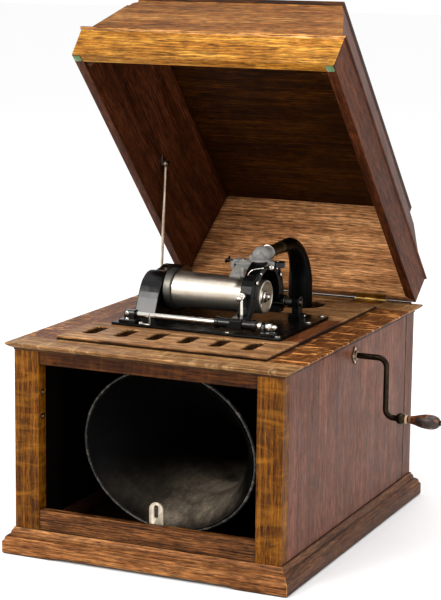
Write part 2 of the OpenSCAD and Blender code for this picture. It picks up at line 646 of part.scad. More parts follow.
module reproducer() color(steel) {
  rod_z(30.5, mandrel_c[0], 291.6, 294.8, 9);
  rod_z(30.5, mandrel_c[0], 290.2, 291.6, 4);
  rod_z(30.5, mandrel_c[0], 289, 290.2, 0.6);
  for (x = guide_pin_x) rod_z(x, mandrel_c[0], 294.8, bar_z[1] + 1, guide_pin_r);
}
lever_y = [-69, -66.4];
module lift_lever() color(nickel) difference() {
  union() {
    rod_y(lever_at[0], lever_at[1], lever_y[0], lever_y[1], 4);
    rod_z(lever_at[0], (lever_y[0] + lever_y[1]) / 2, 253.4, lever_at[1], 1.3);
  }
  rod_y(lever_at[0], lever_at[1], lever_y[0] - 1, lever_y[1] + 1, lever_pin_r + run_gap);
}
start_len = 12;
start_turn = -10.5;
module start_lever() color(nickel) translate([start_at[0], start_at[1], 0]) rotate([0, 0, start_turn])
  difference() {
    union() {
      rod_z(0, 0, bed_z + 0.1, bed_z + 1.4, 2.4);
      block([0, -1.2, bed_z + 0.1], [start_len, 1.2, bed_z + 1.4]);
      rod_z(start_len, 0, bed_z + 0.1, 248, 0.9);
    }
    rod_z(0, 0, bed_z - 1, bed_z + 3, 1.2 + run_gap);
  }

// ---- Horn: rings along its centre line, in a frame with the pivot at the origin and the tube at +Y ----
tube_at = [neck_x - pivot_at[0], neck_y - pivot_at[1]];
horn_turn = atan2(tube_at[0], tube_at[1]);
tube_reach = norm(tube_at) + 1.5;
mouth_y = 12;
mouth_z = 121;
mouth_a = 104;
mouth_b = 84;
bell_end_z = 72;
elbow_r = 58;
bell_end_y = tube_reach - elbow_r;
bell_end_r = 24.5;
horn_top = 213;
horn_wall = 1.6;
horn_sides = 36;
bell_steps = 13;
elbow_steps = 7;
function smooth(t) = t * t * (3 - 2 * t);
function flare(t) = pow(1 - t, 2.2);
// Each ring: [y, z, tilt, half width, half height].
function bell_ring(t, wall) = [mouth_y + t * (bell_end_y - mouth_y),
  mouth_z + (bell_end_z - mouth_z) * smooth(t), 0,
  bell_end_r + (mouth_a - bell_end_r) * flare(t) - wall,
  bell_end_r + (mouth_b - bell_end_r) * flare(t) - wall];
function elbow_ring(t, wall) = let (r = bell_end_r + (horn_tube_r - bell_end_r) * t - wall)
  [bell_end_y + elbow_r * sin(90 * t), bell_end_z + elbow_r * (1 - cos(90 * t)), 90 * t, r, r];
function bell_side(wall) = [for (k = [0 : bell_steps]) bell_ring(pow(k / bell_steps, 1.35), wall)];
function elbow_side(wall) = concat([for (k = [0 : elbow_steps]) elbow_ring(k / elbow_steps, wall)],
  [[tube_reach, horn_top, 90, horn_tube_r - wall, horn_tube_r - wall]]);
rim_out = 2.6;
rim_d = 4.5;
rim_rings = [[mouth_y, mouth_z, 0, mouth_a + rim_out - 1, mouth_b + rim_out - 1],
  [mouth_y + 1, mouth_z, 0, mouth_a + rim_out, mouth_b + rim_out],
  [mouth_y + rim_d - 1, mouth_z, 0, mouth_a + rim_out, mouth_b + rim_out],
  [mouth_y + rim_d, mouth_z, 0, mouth_a + rim_out - 1, mouth_b + rim_out - 1],
  [mouth_y + rim_d, mouth_z - 0.1, 0, mouth_a - 1.5, mouth_b - 1.5]];
function tail(list, from) = [for (i = [from : len(list) - 1]) list[i]];
function reversed(list) = [for (i = [len(list) - 1 : -1 : 0]) list[i]];
rim_count = len(rim_rings);
bell_rings = concat(rim_rings, tail(bell_side(0), 1), reversed(bell_side(horn_wall)));
elbow_rings = concat(elbow_side(0), reversed(elbow_side(horn_wall)));
function ring_point(g, a) =
  [g[3] * cos(a), g[0] - g[4] * sin(a) * sin(g[2]), g[1] + g[4] * sin(a) * cos(g[2])];
module ring_skin(rings, sides) {
  n = len(rings);
  polyhedron(points = [for (g = rings) for (k = [0 : sides - 1]) ring_point(g, k * 360 / sides)],
    faces = [for (i = [0 : n - 1]) for (k = [0 : sides - 1]) let (j = (i + 1) % n, m = (k + 1) % sides)
      each [[i * sides + k, i * sides + m, j * sides + k], [i * sides + m, j * sides + m, j * sides + k]]]);
}
// One stave of the bell: a closed skin over a sector, with both of its edges capped.
stave_count = 12;
stave_sides = 3;
stave_gap = 0.1;
last_ring = len(bell_rings) - 1;
function inner_of(i) = last_ring - 1 - (i - rim_count);
cap = concat([for (i = [0 : rim_count - 1]) [last_ring, i, i + 1]],
  [[last_ring, rim_count, last_ring - 1]],
  [for (i = [rim_count : rim_count + bell_steps - 2])
    each [[i, i + 1, inner_of(i)], [i + 1, inner_of(i + 1), inner_of(i)]]]);
module bell_stave(k) {
  n = len(bell_rings);
  m = stave_sides + 1;
  span = 360 / stave_count;
  a0 = k * span + stave_gap;
  step = (span - 2 * stave_gap) / stave_sides;
  polyhedron(points = [for (g = bell_rings) for (i = [0 : stave_sides]) ring_point(g, a0 + i * step)],
    faces = concat(
      [for (i = [0 : n - 1]) for (q = [0 : stave_sides - 1]) let (j = (i + 1) % n)
        each [[i * m + q, i * m + q + 1, j * m + q], [i * m + q + 1, j * m + q + 1, j * m + q]]],
      [for (t = cap) [t[0] * m, t[1] * m, t[2] * m]],
      [for (t = cap) [t[2] * m + stave_sides, t[1] * m + stave_sides, t[0] * m + stave_sides]]));
}
module horn_place() translate([pivot_at[0], pivot_at[1], 0]) rotate([0, 0, -horn_turn]) children();
module horn_bell() color(japan) horn_place() for (k = [0 : stave_count - 1]) bell_stave(k);
module horn_elbow() color(japan) horn_place() ring_skin(elbow_rings, horn_sides);
strap_z = [22, 26];
strap_end = 72;
strap_top = 57.8;
module horn_strap() color(steel) horn_place() difference() {
  union() {
    rod_z(0, 0, strap_z[0], strap_z[1], 7);
    block([-7, 0, strap_z[0]], [7, strap_end, strap_z[1]]);
    block([-7, strap_end - 4, strap_z[1]], [7, strap_end, strap_top]);
  }
  rod_z(0, 0, strap_z[0] - 1, strap_z[1] + 1, pivot_r + run_gap);
}

// ---- Lid, drawn closed in a frame with the hinge line at the origin, then opened ----
rim_low = 1.2;
lid_side_outer = [[0, rim_low], [-1.5, 36], [-1.5, 36.8], [-2.9, 37.6], [-3.2, 39], [-2.6, 40.6], [0, 41.2],
  [3, 41.6], [23, 98], [24.6, 99], [25.4, 102.5], [27.2, 106], [29.5, 109], [29.5, lid_in_h - 2.5]];
lid_side_inner = [[34, lid_in_h - 2.5], [lid_rim_t, 30], [lid_rim_t, rim_low]];
lid_profile = concat(lid_side_outer, lid_side_inner);
module lid_place() translate([0, hinge_y, top_z]) rotate([-lid_open_angle, 0, 0]) children();
lid_out = 3.4;
lid_in = 40;
module lid_side_run() intersection() {
  plate_y(-lid_len - lid_out, lid_out) translate([lid_half_w, 0]) mirror([1, 0]) polygon(lid_profile);
  plate_z(-1, lid_h + 1) polygon([[lid_half_w + lid_out, lid_out], [lid_half_w - lid_in, -lid_in],
    [lid_half_w - lid_in, -lid_len + lid_in], [lid_half_w + lid_out, -lid_len - lid_out]]);
}
module lid_end_run() intersection() {
  plate_x(-lid_half_w - lid_out, lid_half_w + lid_out) mirror([1, 0]) polygon(lid_profile);
  plate_z(-1, lid_h + 1) polygon([[-lid_half_w - lid_out, lid_out], [lid_half_w + lid_out, lid_out],
    [lid_half_w - lid_in, -lid_in], [-lid_half_w + lid_in, -lid_in]]);
}
module lid_front() color(oak) lid_place() translate([0, -lid_len, 0]) mirror([0, 1, 0]) lid_end_run();
module lid_back() color(oak) lid_place() difference() {
  lid_end_run();
  for (s = [-1, 1]) translate([s * hinge_x, 0, 0]) {
    block([-hinge_half - 0.5, -lid_rim_t - 1, 0], [hinge_half + 0.5, 1, leaf_t + 0.2]);
    rod_x(-hinge_half - 0.5, hinge_half + 0.5, [0, 0], knuckle_r + 0.6);
  }
}
module lid_sides() color(oak) lid_place() both_sides() lid_side_run();
panel_in = 29.5;
panel_r = 3;
module lid_top() color(oak) lid_place() {
  x = lid_half_w - panel_in;
  block([-x, -lid_len + panel_in, lid_in_h - 2.5], [x, -panel_in, lid_h - panel_r]);
  block([-x + panel_r, -lid_len + panel_in + panel_r, lid_h - panel_r],
    [x - panel_r, -panel_in - panel_r, lid_h]);
}
block_leg = 15;
module lid_corner_blocks() color(oak) lid_place() both_sides()
  plate_z(4, 22) translate([-lid_half_w + lid_rim_t, -lid_len + lid_rim_t])
    polygon([[0, 0], [block_leg, 0], [0, block_leg]]);
module lid_pads() color("#4c6b45") lid_place() both_sides()
  block([-lid_half_w + 1, -lid_len + 1, 0.2], [-lid_half_w + 9.5, -lid_len + 9.5, rim_low]);
module lid_hinge_leaf() difference() {
  union() {
    block([-hinge_half, -lid_rim_t, 0.2], [hinge_half, -knuckle_r - 0.8, leaf_t + 0.2]);
    block([-middle_half, -knuckle_r - 1, 0.2], [middle_half, 0, leaf_t + 0.2]);
    rod_x(-middle_half, middle_half, [0, 0], knuckle_r);
  }
  rod_x(-hinge_half, hinge_half, [0, 0], pin_r + run_gap);
}
module lid_hinge_upper() color(brass) lid_place() for (s = [-1, 1]) translate([s * hinge_x, 0, 0])
  lid_hinge_leaf();
// Distance of the stay pivot in front of the hinge and above the rim, with the lid closed.
stay_pivot = [-172.9, 46.3];
stay_rod_r = 1.7;
stay_pin_r = 1.6;
stay_len = 165;
stay_tilt = 4;
module stay_bracket() color(nickel) lid_place() {
  rod_x(stay_x - 6, stay_x + 3, stay_pivot, stay_pin_r);
  rod_x(stay_x + 2, stay_x + 3.4, stay_pivot, 2.8);
  plate_x(stay_x - 3.4, stay_x - 2.2) translate(stay_pivot) rotate(45) {
    circle(r = 4);
    translate([-4, 0]) square([8, 20]);
  }
  for (i = [-1, 1]) rod_x(stay_x - 2.2, stay_x - 1.4, stay_pivot + [i * 1.4 - 11.6, i * 1.4 + 11.6], 1.4);
}
function lid_point(yz) = [hinge_y + yz[0] * cos(lid_open_angle) + yz[1] * sin(lid_open_angle),
  top_z - yz[0] * sin(lid_open_angle) + yz[1] * cos(lid_open_angle)];
stay_eye = lid_point(stay_pivot);
module stay_rod() color(nickel) translate([stay_x, stay_eye[0], stay_eye[1]]) rotate([-stay_tilt, 0, 0])
  difference() {
    union() {
      rod_z(0, 0, -stay_len, 0, stay_rod_r);
      rod_x(-1.9, 1.9, [0, 0], 4.2);
    }
    rod_x(-3, 3, [0, 0], stay_pin_r + run_gap);
  }

// ---- Crank ----
bend_top = 10;
bend_low = 9;
arm_out = 190;
handle_z = crank_z - crank_arm;
module bend_xz(x, z, r, from) translate([x, crank_c[0], z]) rotate([90, 0, 0]) rotate([0, 0, from])
  rotate_extrude(angle = 90) translate([r, 0]) circle(r = crank_rod_r);
module crank() color(nickel) {
  rod_x(22, arm_out - bend_top, crank_c, crank_rod_r);
  bend_xz(arm_out - bend_top, crank_z - bend_top, bend_top, 0);
  rod_z(arm_out, crank_c[0], handle_z + bend_low, crank_z - bend_top, crank_rod_r);
  bend_xz(arm_out + bend_low, handle_z + bend_low, bend_low, 180);
  rod_x(arm_out + bend_low, 206, [crank_c[0], handle_z], crank_rod_r);
  translate([207.5, crank_c[0], handle_z]) rotate([0, 0, 90]) sphere(r = 6.2);
  rod_x(207.5, 252, [crank_c[0], handle_z], grip_pin_r);
  rod_x(251, 252.4, [crank_c[0], handle_z], 2.9);
  gear(25, 32, crank_c, crank_teeth, wind_mod, barrel_dir, crank_rod_r - 0.4);
}
grip_pin_r = 2;
module crank_grip() color("#3d2a1c") turned_x([crank_c[0], handle_z], [[grip_pin_r + run_gap, 214.2],
  [4, 214.2], [4.3, 216], [4.4, 219], [5.2, 224], [6.6, 230], [7.7, 236], [8, 240], [7.8, 243.6], [6.9, 247],
  [5.2, 249.6], [3.4, 250.8], [grip_pin_r + run_gap, 250.8]]);

base_front();
base_back();
base_sides();
bottom_board();
side_panels();
back_panel();
front_stiles();
rear_stiles();
top_rail();
bottom_rail();
top_board_front();
top_board_rear();
top_board_sides();
deck_front();
deck_sides();
deck_rear();
grille_catches();
escutcheon();
horn_keeper();
lid_hinge_lower();
bedplate();
bed_screws();
gear_housing();
guide_rod();
rod_brackets();
feed_post();
motor_plates();
motor_pillars();
governor_brake();
lid_front();
lid_back();
lid_sides();
lid_top();
lid_corner_blocks();
lid_pads();
lid_hinge_upper();
stay_bracket();
stay_rod();
carriage_frame();
carriage_bar();
carriage_screws();
gooseneck();
neck_sleeve();
reproducer();
lift_lever();
start_lever();
horn_bell();
horn_elbow();
horn_strap();
mandrel();
mandrel_shaft();
feed_screw();
idler_gear();
second_wheel();
spring_barrel();
mainspring();
winding_arbor();
governor();
crank();
crank_grip();
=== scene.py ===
"""Looks of a table-top cylinder phonograph, dressed over its CAD frame.

Millimetres are used in the piece builders and turned into metres in one place, Shape.piece().
"""

from math import atan2, copysign, cos, hypot, pi, radians, sin, sqrt

import bmesh
import bpy
from mathutils import Matrix, Vector
from mathutils.geometry import tessellate_polygon


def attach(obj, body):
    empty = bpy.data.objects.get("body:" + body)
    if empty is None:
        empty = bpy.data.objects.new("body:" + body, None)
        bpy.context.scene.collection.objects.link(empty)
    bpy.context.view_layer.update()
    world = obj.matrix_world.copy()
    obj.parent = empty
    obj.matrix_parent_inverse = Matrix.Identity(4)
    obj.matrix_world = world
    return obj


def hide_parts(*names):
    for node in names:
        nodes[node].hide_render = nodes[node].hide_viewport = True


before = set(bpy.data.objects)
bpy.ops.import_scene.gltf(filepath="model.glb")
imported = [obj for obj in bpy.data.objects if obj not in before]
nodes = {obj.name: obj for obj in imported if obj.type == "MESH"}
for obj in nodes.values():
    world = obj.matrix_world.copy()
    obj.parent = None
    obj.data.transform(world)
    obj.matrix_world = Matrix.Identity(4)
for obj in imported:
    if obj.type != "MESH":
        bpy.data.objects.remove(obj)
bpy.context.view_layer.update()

MM = 0.001

# ---- Named sizes, the same as the CAD source's, in millimetres ----
HALF_W = 152.5
HALF_D = 196.0
TOP_Z = 228.6
DECK_Z = 232.6
BED_Z = 235.6
HINGE_Y = 206.3
LID_ANGLE = 45.9
MANDREL = (-11.2, 263.5)
FEED = (25.36, 253.15)
CRANK = (-1.2, 207.0)
HANDLE_Z = 143.0
GUIDE = (-78.2, 245.0)
PIVOT = (6.0, -171.0)
DECK_HW = 120.0
PLUG_HW = 107.6

X, Y, Z = (1, 0, 0), (0, 1, 0), (0, 0, 1)


def turned_at(x, y, z, angle, axis):
    """A frame at a point, turned about an axis by an angle in radians."""
    return Matrix.Translation(Vector((x, y, z))) @ Matrix.Rotation(angle, 4, axis)


LID_MATRIX = turned_at(0, HINGE_Y, TOP_Z, radians(-LID_ANGLE), "X")


# ---- Small mesh kit ----
def turns(n):
    """The angles of n even steps round a circle."""
    return [2 * pi * k / n for k in range(n)]


def circle(cx, cy, r, n=48, start=0.0, end=360.0):
    """A circle, or an arc with both of its end points."""
    return [(cx + r * cos(radians(start + (end - start) * k / n)),
             cy + r * sin(radians(start + (end - start) * k / n)))
            for k in range(n if end - start == 360 else n + 1)]


def rect(x0, y0, x1, y1):
    return [(x0, y0), (x1, y0), (x1, y1), (x0, y1)]


def placed(p, axis, d):
    """A point of a flat outline, d along the axis. Its numbers are the other axes, in the order x, y, z."""
    a, b, c = {"x": (1, 2, 0), "y": (0, 2, 1), "z": (0, 1, 2)}[axis]
    v = [0.0, 0.0, 0.0]
    v[a], v[b], v[c] = p[0], p[1], d
    return v


def hoops(path, radii, segs):
    """Rings of points round a path, which turn with it and don't twist."""
    pts = [Vector(p) for p in path]
    last = len(pts) - 1
    tangents = [(pts[min(i + 1, last)] - pts[max(i - 1, 0)]).normalized() for i in range(last + 1)]
    up = tangents[0].orthogonal().normalized()
    rows = []
    for i, (p, t, r) in enumerate(zip(pts, tangents, radii)):
        if i:
            up = tangents[i - 1].rotation_difference(t) @ up
        side = t.cross(up).normalized()
        rows.append([p + (up * cos(a) + side * sin(a)) * r for a in turns(segs)])
    return rows


def collar(lo, hi, bore, rim, r, cut):
    """The outline of a turned collar for Shape.ring(); rim is its smaller radius at both ends."""
    return [(lo, bore), (lo, rim), (lo + cut, r), (hi - cut, r), (hi, rim), (hi, bore)]


def smooth_path(points, steps):
    """A Catmull-Rom curve through points."""
    pts = [Vector(p) for p in points]
    pts = [pts[0] * 2 - pts[1]] + pts + [pts[-1] * 2 - pts[-2]]
    out = []
    for i in range(1, len(pts) - 2):
        a, b, c, d = pts[i - 1:i + 3]
        for k in range(steps):
            t = k / steps
            out.append(0.5 * ((2 * b) + (c - a) * t + (2 * a - 5 * b + 4 * c - d) * t * t
                              + (3 * b - a - 3 * c + d) * t ** 3))
    out.append(pts[-2])
    return out


class Shape:
    """One mesh being built up from turned, extruded and swept solids, in millimetres."""

    def __init__(self, matrix=None):
        self.bm = bmesh.new()
        self.matrix = matrix or Matrix.Identity(4)

    def row(self, points):
        return [self.bm.verts.new(self.matrix @ Vector(p)) for p in points]

    def grid(self, rows, closed_rows=False, caps=False):
        """Quads over rings of points. caps closes the first and last ring with a face."""
        made = [self.row(points) for points in rows]
        n, m = len(made), len(made[0])
        for i in range(n if closed_rows else n - 1):
            a, b = made[i], made[(i + 1) % n]
            for k in range(m):
                self.bm.faces.new((a[k], a[(k + 1) % m], b[(k + 1) % m], b[k]))
        if caps:
            self.bm.faces.new(list(reversed(made[0])))
            self.bm.faces.new(made[-1])

    def turned(self, origin, axis, profile, segs=48, squash=(1, 1), hollow=False):
        """A lathe shape: (distance along the axis, radius) from end to end, or all round when hollow."""
        z = Vector(axis).normalized()
        x = z.orthogonal().normalized() if abs(z.z) > 0.9 else z.cross(Vector(Z)).normalized()
        y = z.cross(x)
        o = Vector(origin)
        rows = [[o + z * h + (x * cos(a) * squash[0] + y * sin(a) * squash[1]) * max(r, 1e-3)
                 for a in turns(segs)] for h, r in profile]
        self.grid(rows, closed_rows=hollow, caps=not hollow)

    def ring(self, origin, axis, loop, segs):
        """A turned ring: loop is a closed outline of (distance along the axis, radius)."""
        self.turned(origin, axis, loop, segs, hollow=True)

    def ball(self, centre, r, segs=32, steps=16):
        angles = [pi * k / steps for k in range(steps + 1)]
        self.turned(centre, Z, [(-r * cos(a), r * sin(a)) for a in angles], segs)

    def tube(self, path, radius, segs=24):
        """A round rod along a path. radius is a number or one for each point."""
        self.grid(hoops(path, radius if hasattr(radius, "__len__") else [radius] * len(path), segs),
                  caps=True)

    def pipe(self, path, radii, wall, segs=48):
        """A hollow tube along a path, open at both ends."""
        inner = hoops(path, [r - wall for r in radii], segs)
        self.grid(hoops(path, radii, segs) + inner[::-1], closed_rows=True)

    def prism(self, outline, axis, lo, hi):
        """A flat outline pushed along an axis."""
        self.grid([[placed(p, axis, d) for p in outline] for d in (lo, hi)], caps=True)

    def plate(self, outline, axis, lo, hi, holes=()):
        """A flat outline with holes pushed along an axis."""
        loops = [list(outline)] + [list(h) for h in holes]
        flat = [p for loop in loops for p in loop]
        low, high = (self.row([placed(p, axis, d) for p in flat]) for d in (lo, hi))
        for tri in tessellate_polygon([[Vector((p[0], p[1], 0)) for p in loop] for loop in loops]):
            for row in (low, high):
                self.bm.faces.new([row[i] for i in tri])
        start = 0
        for loop in loops:
            n = len(loop)
            for i in range(n):
                a, b = start + i, start + (i + 1) % n
                self.bm.faces.new((low[a], low[b], high[b], high[a]))
            start += n

    def strap(self, x0, x1, inner, outer, start, end, steps=18):
        """A curved strip round the mandrel's axis, from one angle to another."""
        ring = circle(*MANDREL, outer, steps, start, end) + circle(*MANDREL, inner, steps, start, end)[::-1]
        self.prism(ring, "x", x0, x1)

    def screw(self, centre, axis, r, h=1.0, slot_turn=0.4):
        """A domed screw head with a cut slot: two half domes and the slot's floor between them."""
        z = Vector(axis).normalized()
        x = Matrix.Rotation(slot_turn, 4, z) @ z.orthogonal().normalized()
        y = z.cross(x)
        o = Vector(centre)
        half_slot = r * 0.13
        steps = 14
        for side in (-1, 1):
            rows = []
            for up, out in ((0.0, 1.0), (0.5, 1.0), (0.82, 0.86), (1.0, 0.6), (1.06, 0.2)):
                row = []
                for k in range(steps + 1):
                    a = pi * k / steps
                    px, py = cos(a) * r * out, side * (half_slot + sin(a) * (r * out - half_slot))
                    row.append(o + z * (h * up) + x * px + y * py)
                rows.append(row)
            self.grid(rows, caps=True)
        floor = [o + z * (h * u) + x * (sx * r * 0.97) + y * (sy * half_slot * 1.05)
                 for u, sx, sy in ((0, -1, -1), (0, 1, -1), (0, 1, 1), (0, -1, 1))]
        self.grid([floor, [q + z * (h * 0.45) for q in floor]], caps=True)

    def piece(self, name, material, body, replaces=None, bevel=0.0, angle=32, remesh=0.0, soften=0):
        """Turns the mesh into an object that rides on its body."""
        bmesh.ops.recalc_face_normals(self.bm, faces=self.bm.faces)
        for v in self.bm.verts:
            v.co *= MM
        mesh = bpy.data.meshes.new(name)
        self.bm.to_mesh(mesh)
        self.bm.free()
        obj = linked(name, mesh)
        mesh.materials.append(material)
        if remesh:
            cast = obj.modifiers.new("Cast", "REMESH")
            cast.mode = "VOXEL"
            cast.voxel_size = remesh * MM
            cast.use_smooth_shade = True
            smooth = obj.modifiers.new("Soften", "SMOOTH")
            smooth.factor = 0.5
            smooth.iterations = soften
        elif bevel:
            ease_edges(obj, bevel, angle)
        if remesh or bevel:
            bake_modifiers(obj)
        obj.data.shade_smooth()
        if bevel:
            weight_normals(obj)
        elif not remesh:
            obj.data.set_sharp_from_angle(angle=radians(angle))
        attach(obj, body)
        if replaces:
            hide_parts(replaces)
        return obj


def linked(name, data):
    """A new object in the scene."""
    obj = bpy.data.objects.new(name, data)
    bpy.context.scene.collection.objects.link(obj)
    return obj


def bake_modifiers(obj):
    """Turns the object's modifiers into its mesh."""
    graph = bpy.context.evaluated_depsgraph_get()
    bpy.context.view_layer.update()
    mesh = bpy.data.meshes.new_from_object(obj.evaluated_get(graph), depsgraph=graph)
    obj.modifiers.clear()
    obj.data = mesh


def ease_edges(obj, width, angle):
    mod = obj.modifiers.new("Edge", "BEVEL")
    mod.width = width * MM
    mod.segments = 2
    mod.limit_method = "ANGLE"
    mod.angle_limit = radians(angle)
    mod.use_clamp_overlap = True


def weight_normals(obj):
    mod = obj.modifiers.new("Normals", "WEIGHTED_NORMAL")
    mod.keep_sharp = False
    mod.weight = 60


def soften_node(name, material, width):
    """A CAD node that keeps its shape, with its corners eased and a finished material."""
    obj = nodes[name]
    obj.data.materials.clear()
    obj.data.materials.append(material)
    weld = obj.modifiers.new("Weld", "WELD")
    weld.merge_threshold = 0.00002
    if width:
        ease_edges(obj, width, 34)
    obj.data.shade_smooth()
    weight_normals(obj)


# ---- Material kit ----
class Tree:
    """A material being wired up. Its patterns lie on the object's own coordinates, in metres."""

    def __init__(self, name):
        self.material = bpy.data.materials.new(name)
        self.material.use_nodes = True
        self.nodes = self.material.node_tree.nodes
        self.links = self.material.node_tree.links
        self.shader = next(n for n in self.nodes if n.type == "BSDF_PRINCIPLED")
        self.coords = self.add("TexCoord", {}, "Object")

    def plug(self, socket, value):
        if isinstance(value, bpy.types.NodeSocket):
            self.links.new(value, socket)
        else:
            socket.default_value = value

    def put(self, **values):
        """Wires values into the shader. A constant is set on the shader's own socket."""
        for key, value in values.items():
            self.plug(self.shader.inputs[key.replace("_", " ")], value)

    def add(self, kind, inputs, out=0, **settings):
        """Adds a shader node and returns one of its outputs."""
        n = self.nodes.new("ShaderNode" + kind)
        for key, value in settings.items():
            setattr(n, key, value)
        for key, value in inputs.items():
            self.plug(n.inputs[key], value)
        return n.outputs[out]

    def mapped(self, scale, move=(0, 0, 0)):
        scale = scale if hasattr(scale, "__len__") else (scale,) * 3
        return self.add("Mapping", {"Vector": self.coords, "Scale": scale, "Location": move})

    def noise(self, scale, detail, rough, distortion=0.0, move=(0, 0, 0)):
        return self.add("TexNoise", {"Vector": self.mapped(scale, move), "Scale": 1.0, "Detail": detail,
                                     "Roughness": rough, "Distortion": distortion}, "Fac")

    def place(self, axis, move=(0, 0, 0)):
        """The coordinate along one axis."""
        return self.add("SeparateXYZ", {0: self.mapped(1, move)}, axis)

    def ramp(self, fac, stops):
        out = self.add("ValToRGB", {"Fac": fac}, "Color")
        ramp = out.node.color_ramp
        while len(ramp.elements) < len(stops):
            ramp.elements.new(0.5)
        for e, (at, colour) in zip(ramp.elements, stops):
            e.position = at
            e.color = colour if hasattr(colour, "__len__") else (colour, colour, colour, 1)
        return out

    def mix(self, fac, a, b, blend="MIX"):
        return self.add("Mix", {0: fac, 6: a, 7: b}, 2, data_type="RGBA", blend_type=blend, clamp_factor=True)

    def shade(self, fac, a, b):
        return self.mix(fac, a, b, "MULTIPLY")

    def math(self, op, a, b=0.0):
        return self.add("Math", {0: a, 1: b}, operation=op)

    def times(self, value, *factors):
        for factor in factors:
            value = self.math("MULTIPLY", value, factor)
        return value

    def total(self, *parts):
        """The sum of (value, weight) pairs."""
        sums = [self.times(value, weight) for value, weight in parts]
        total = sums[0]
        for part in sums[1:]:
            total = self.math("ADD", total, part)
        return total

    def worn_edges(self, radius, low=0.02, high=0.25):
        """1 at convex and concave edges, 0 on flats."""
        bevel = self.add("Bevel", {"Radius": radius}, "Normal", samples=4)
        normal = self.add("NewGeometry", {}, "Normal")
        dot = self.add("VectorMath", {0: bevel, 1: normal}, "Value", operation="DOT_PRODUCT")
        off = self.math("SUBTRACT", 1.0, dot)
        return self.add("MapRange", {"Value": off, "From Min": low, "From Max": high}, "Result")

    def painted_crevice_shade(self, distance, low, high, darkest):
        """Painted shade: dark in crevices, 1 in the open."""
        open_air = self.add("AmbientOcclusion", {"Distance": distance}, "AO", samples=4)
        return self.ramp(open_air, [(low, darkest), (high, 1.0)])

    def bump(self, height, strength, distance):
        self.put(Normal=self.add("Bump", {"Height": height, "Strength": strength, "Distance": distance}))


def rgb(r, g, b):
    """A display colour from 0 to 255 as linear light."""
    def one(c):
        c /= 255
        return c / 12.92 if c <= 0.04045 else ((c + 0.055) / 1.055) ** 2.4
    return (one(r), one(g), one(b), 1.0)


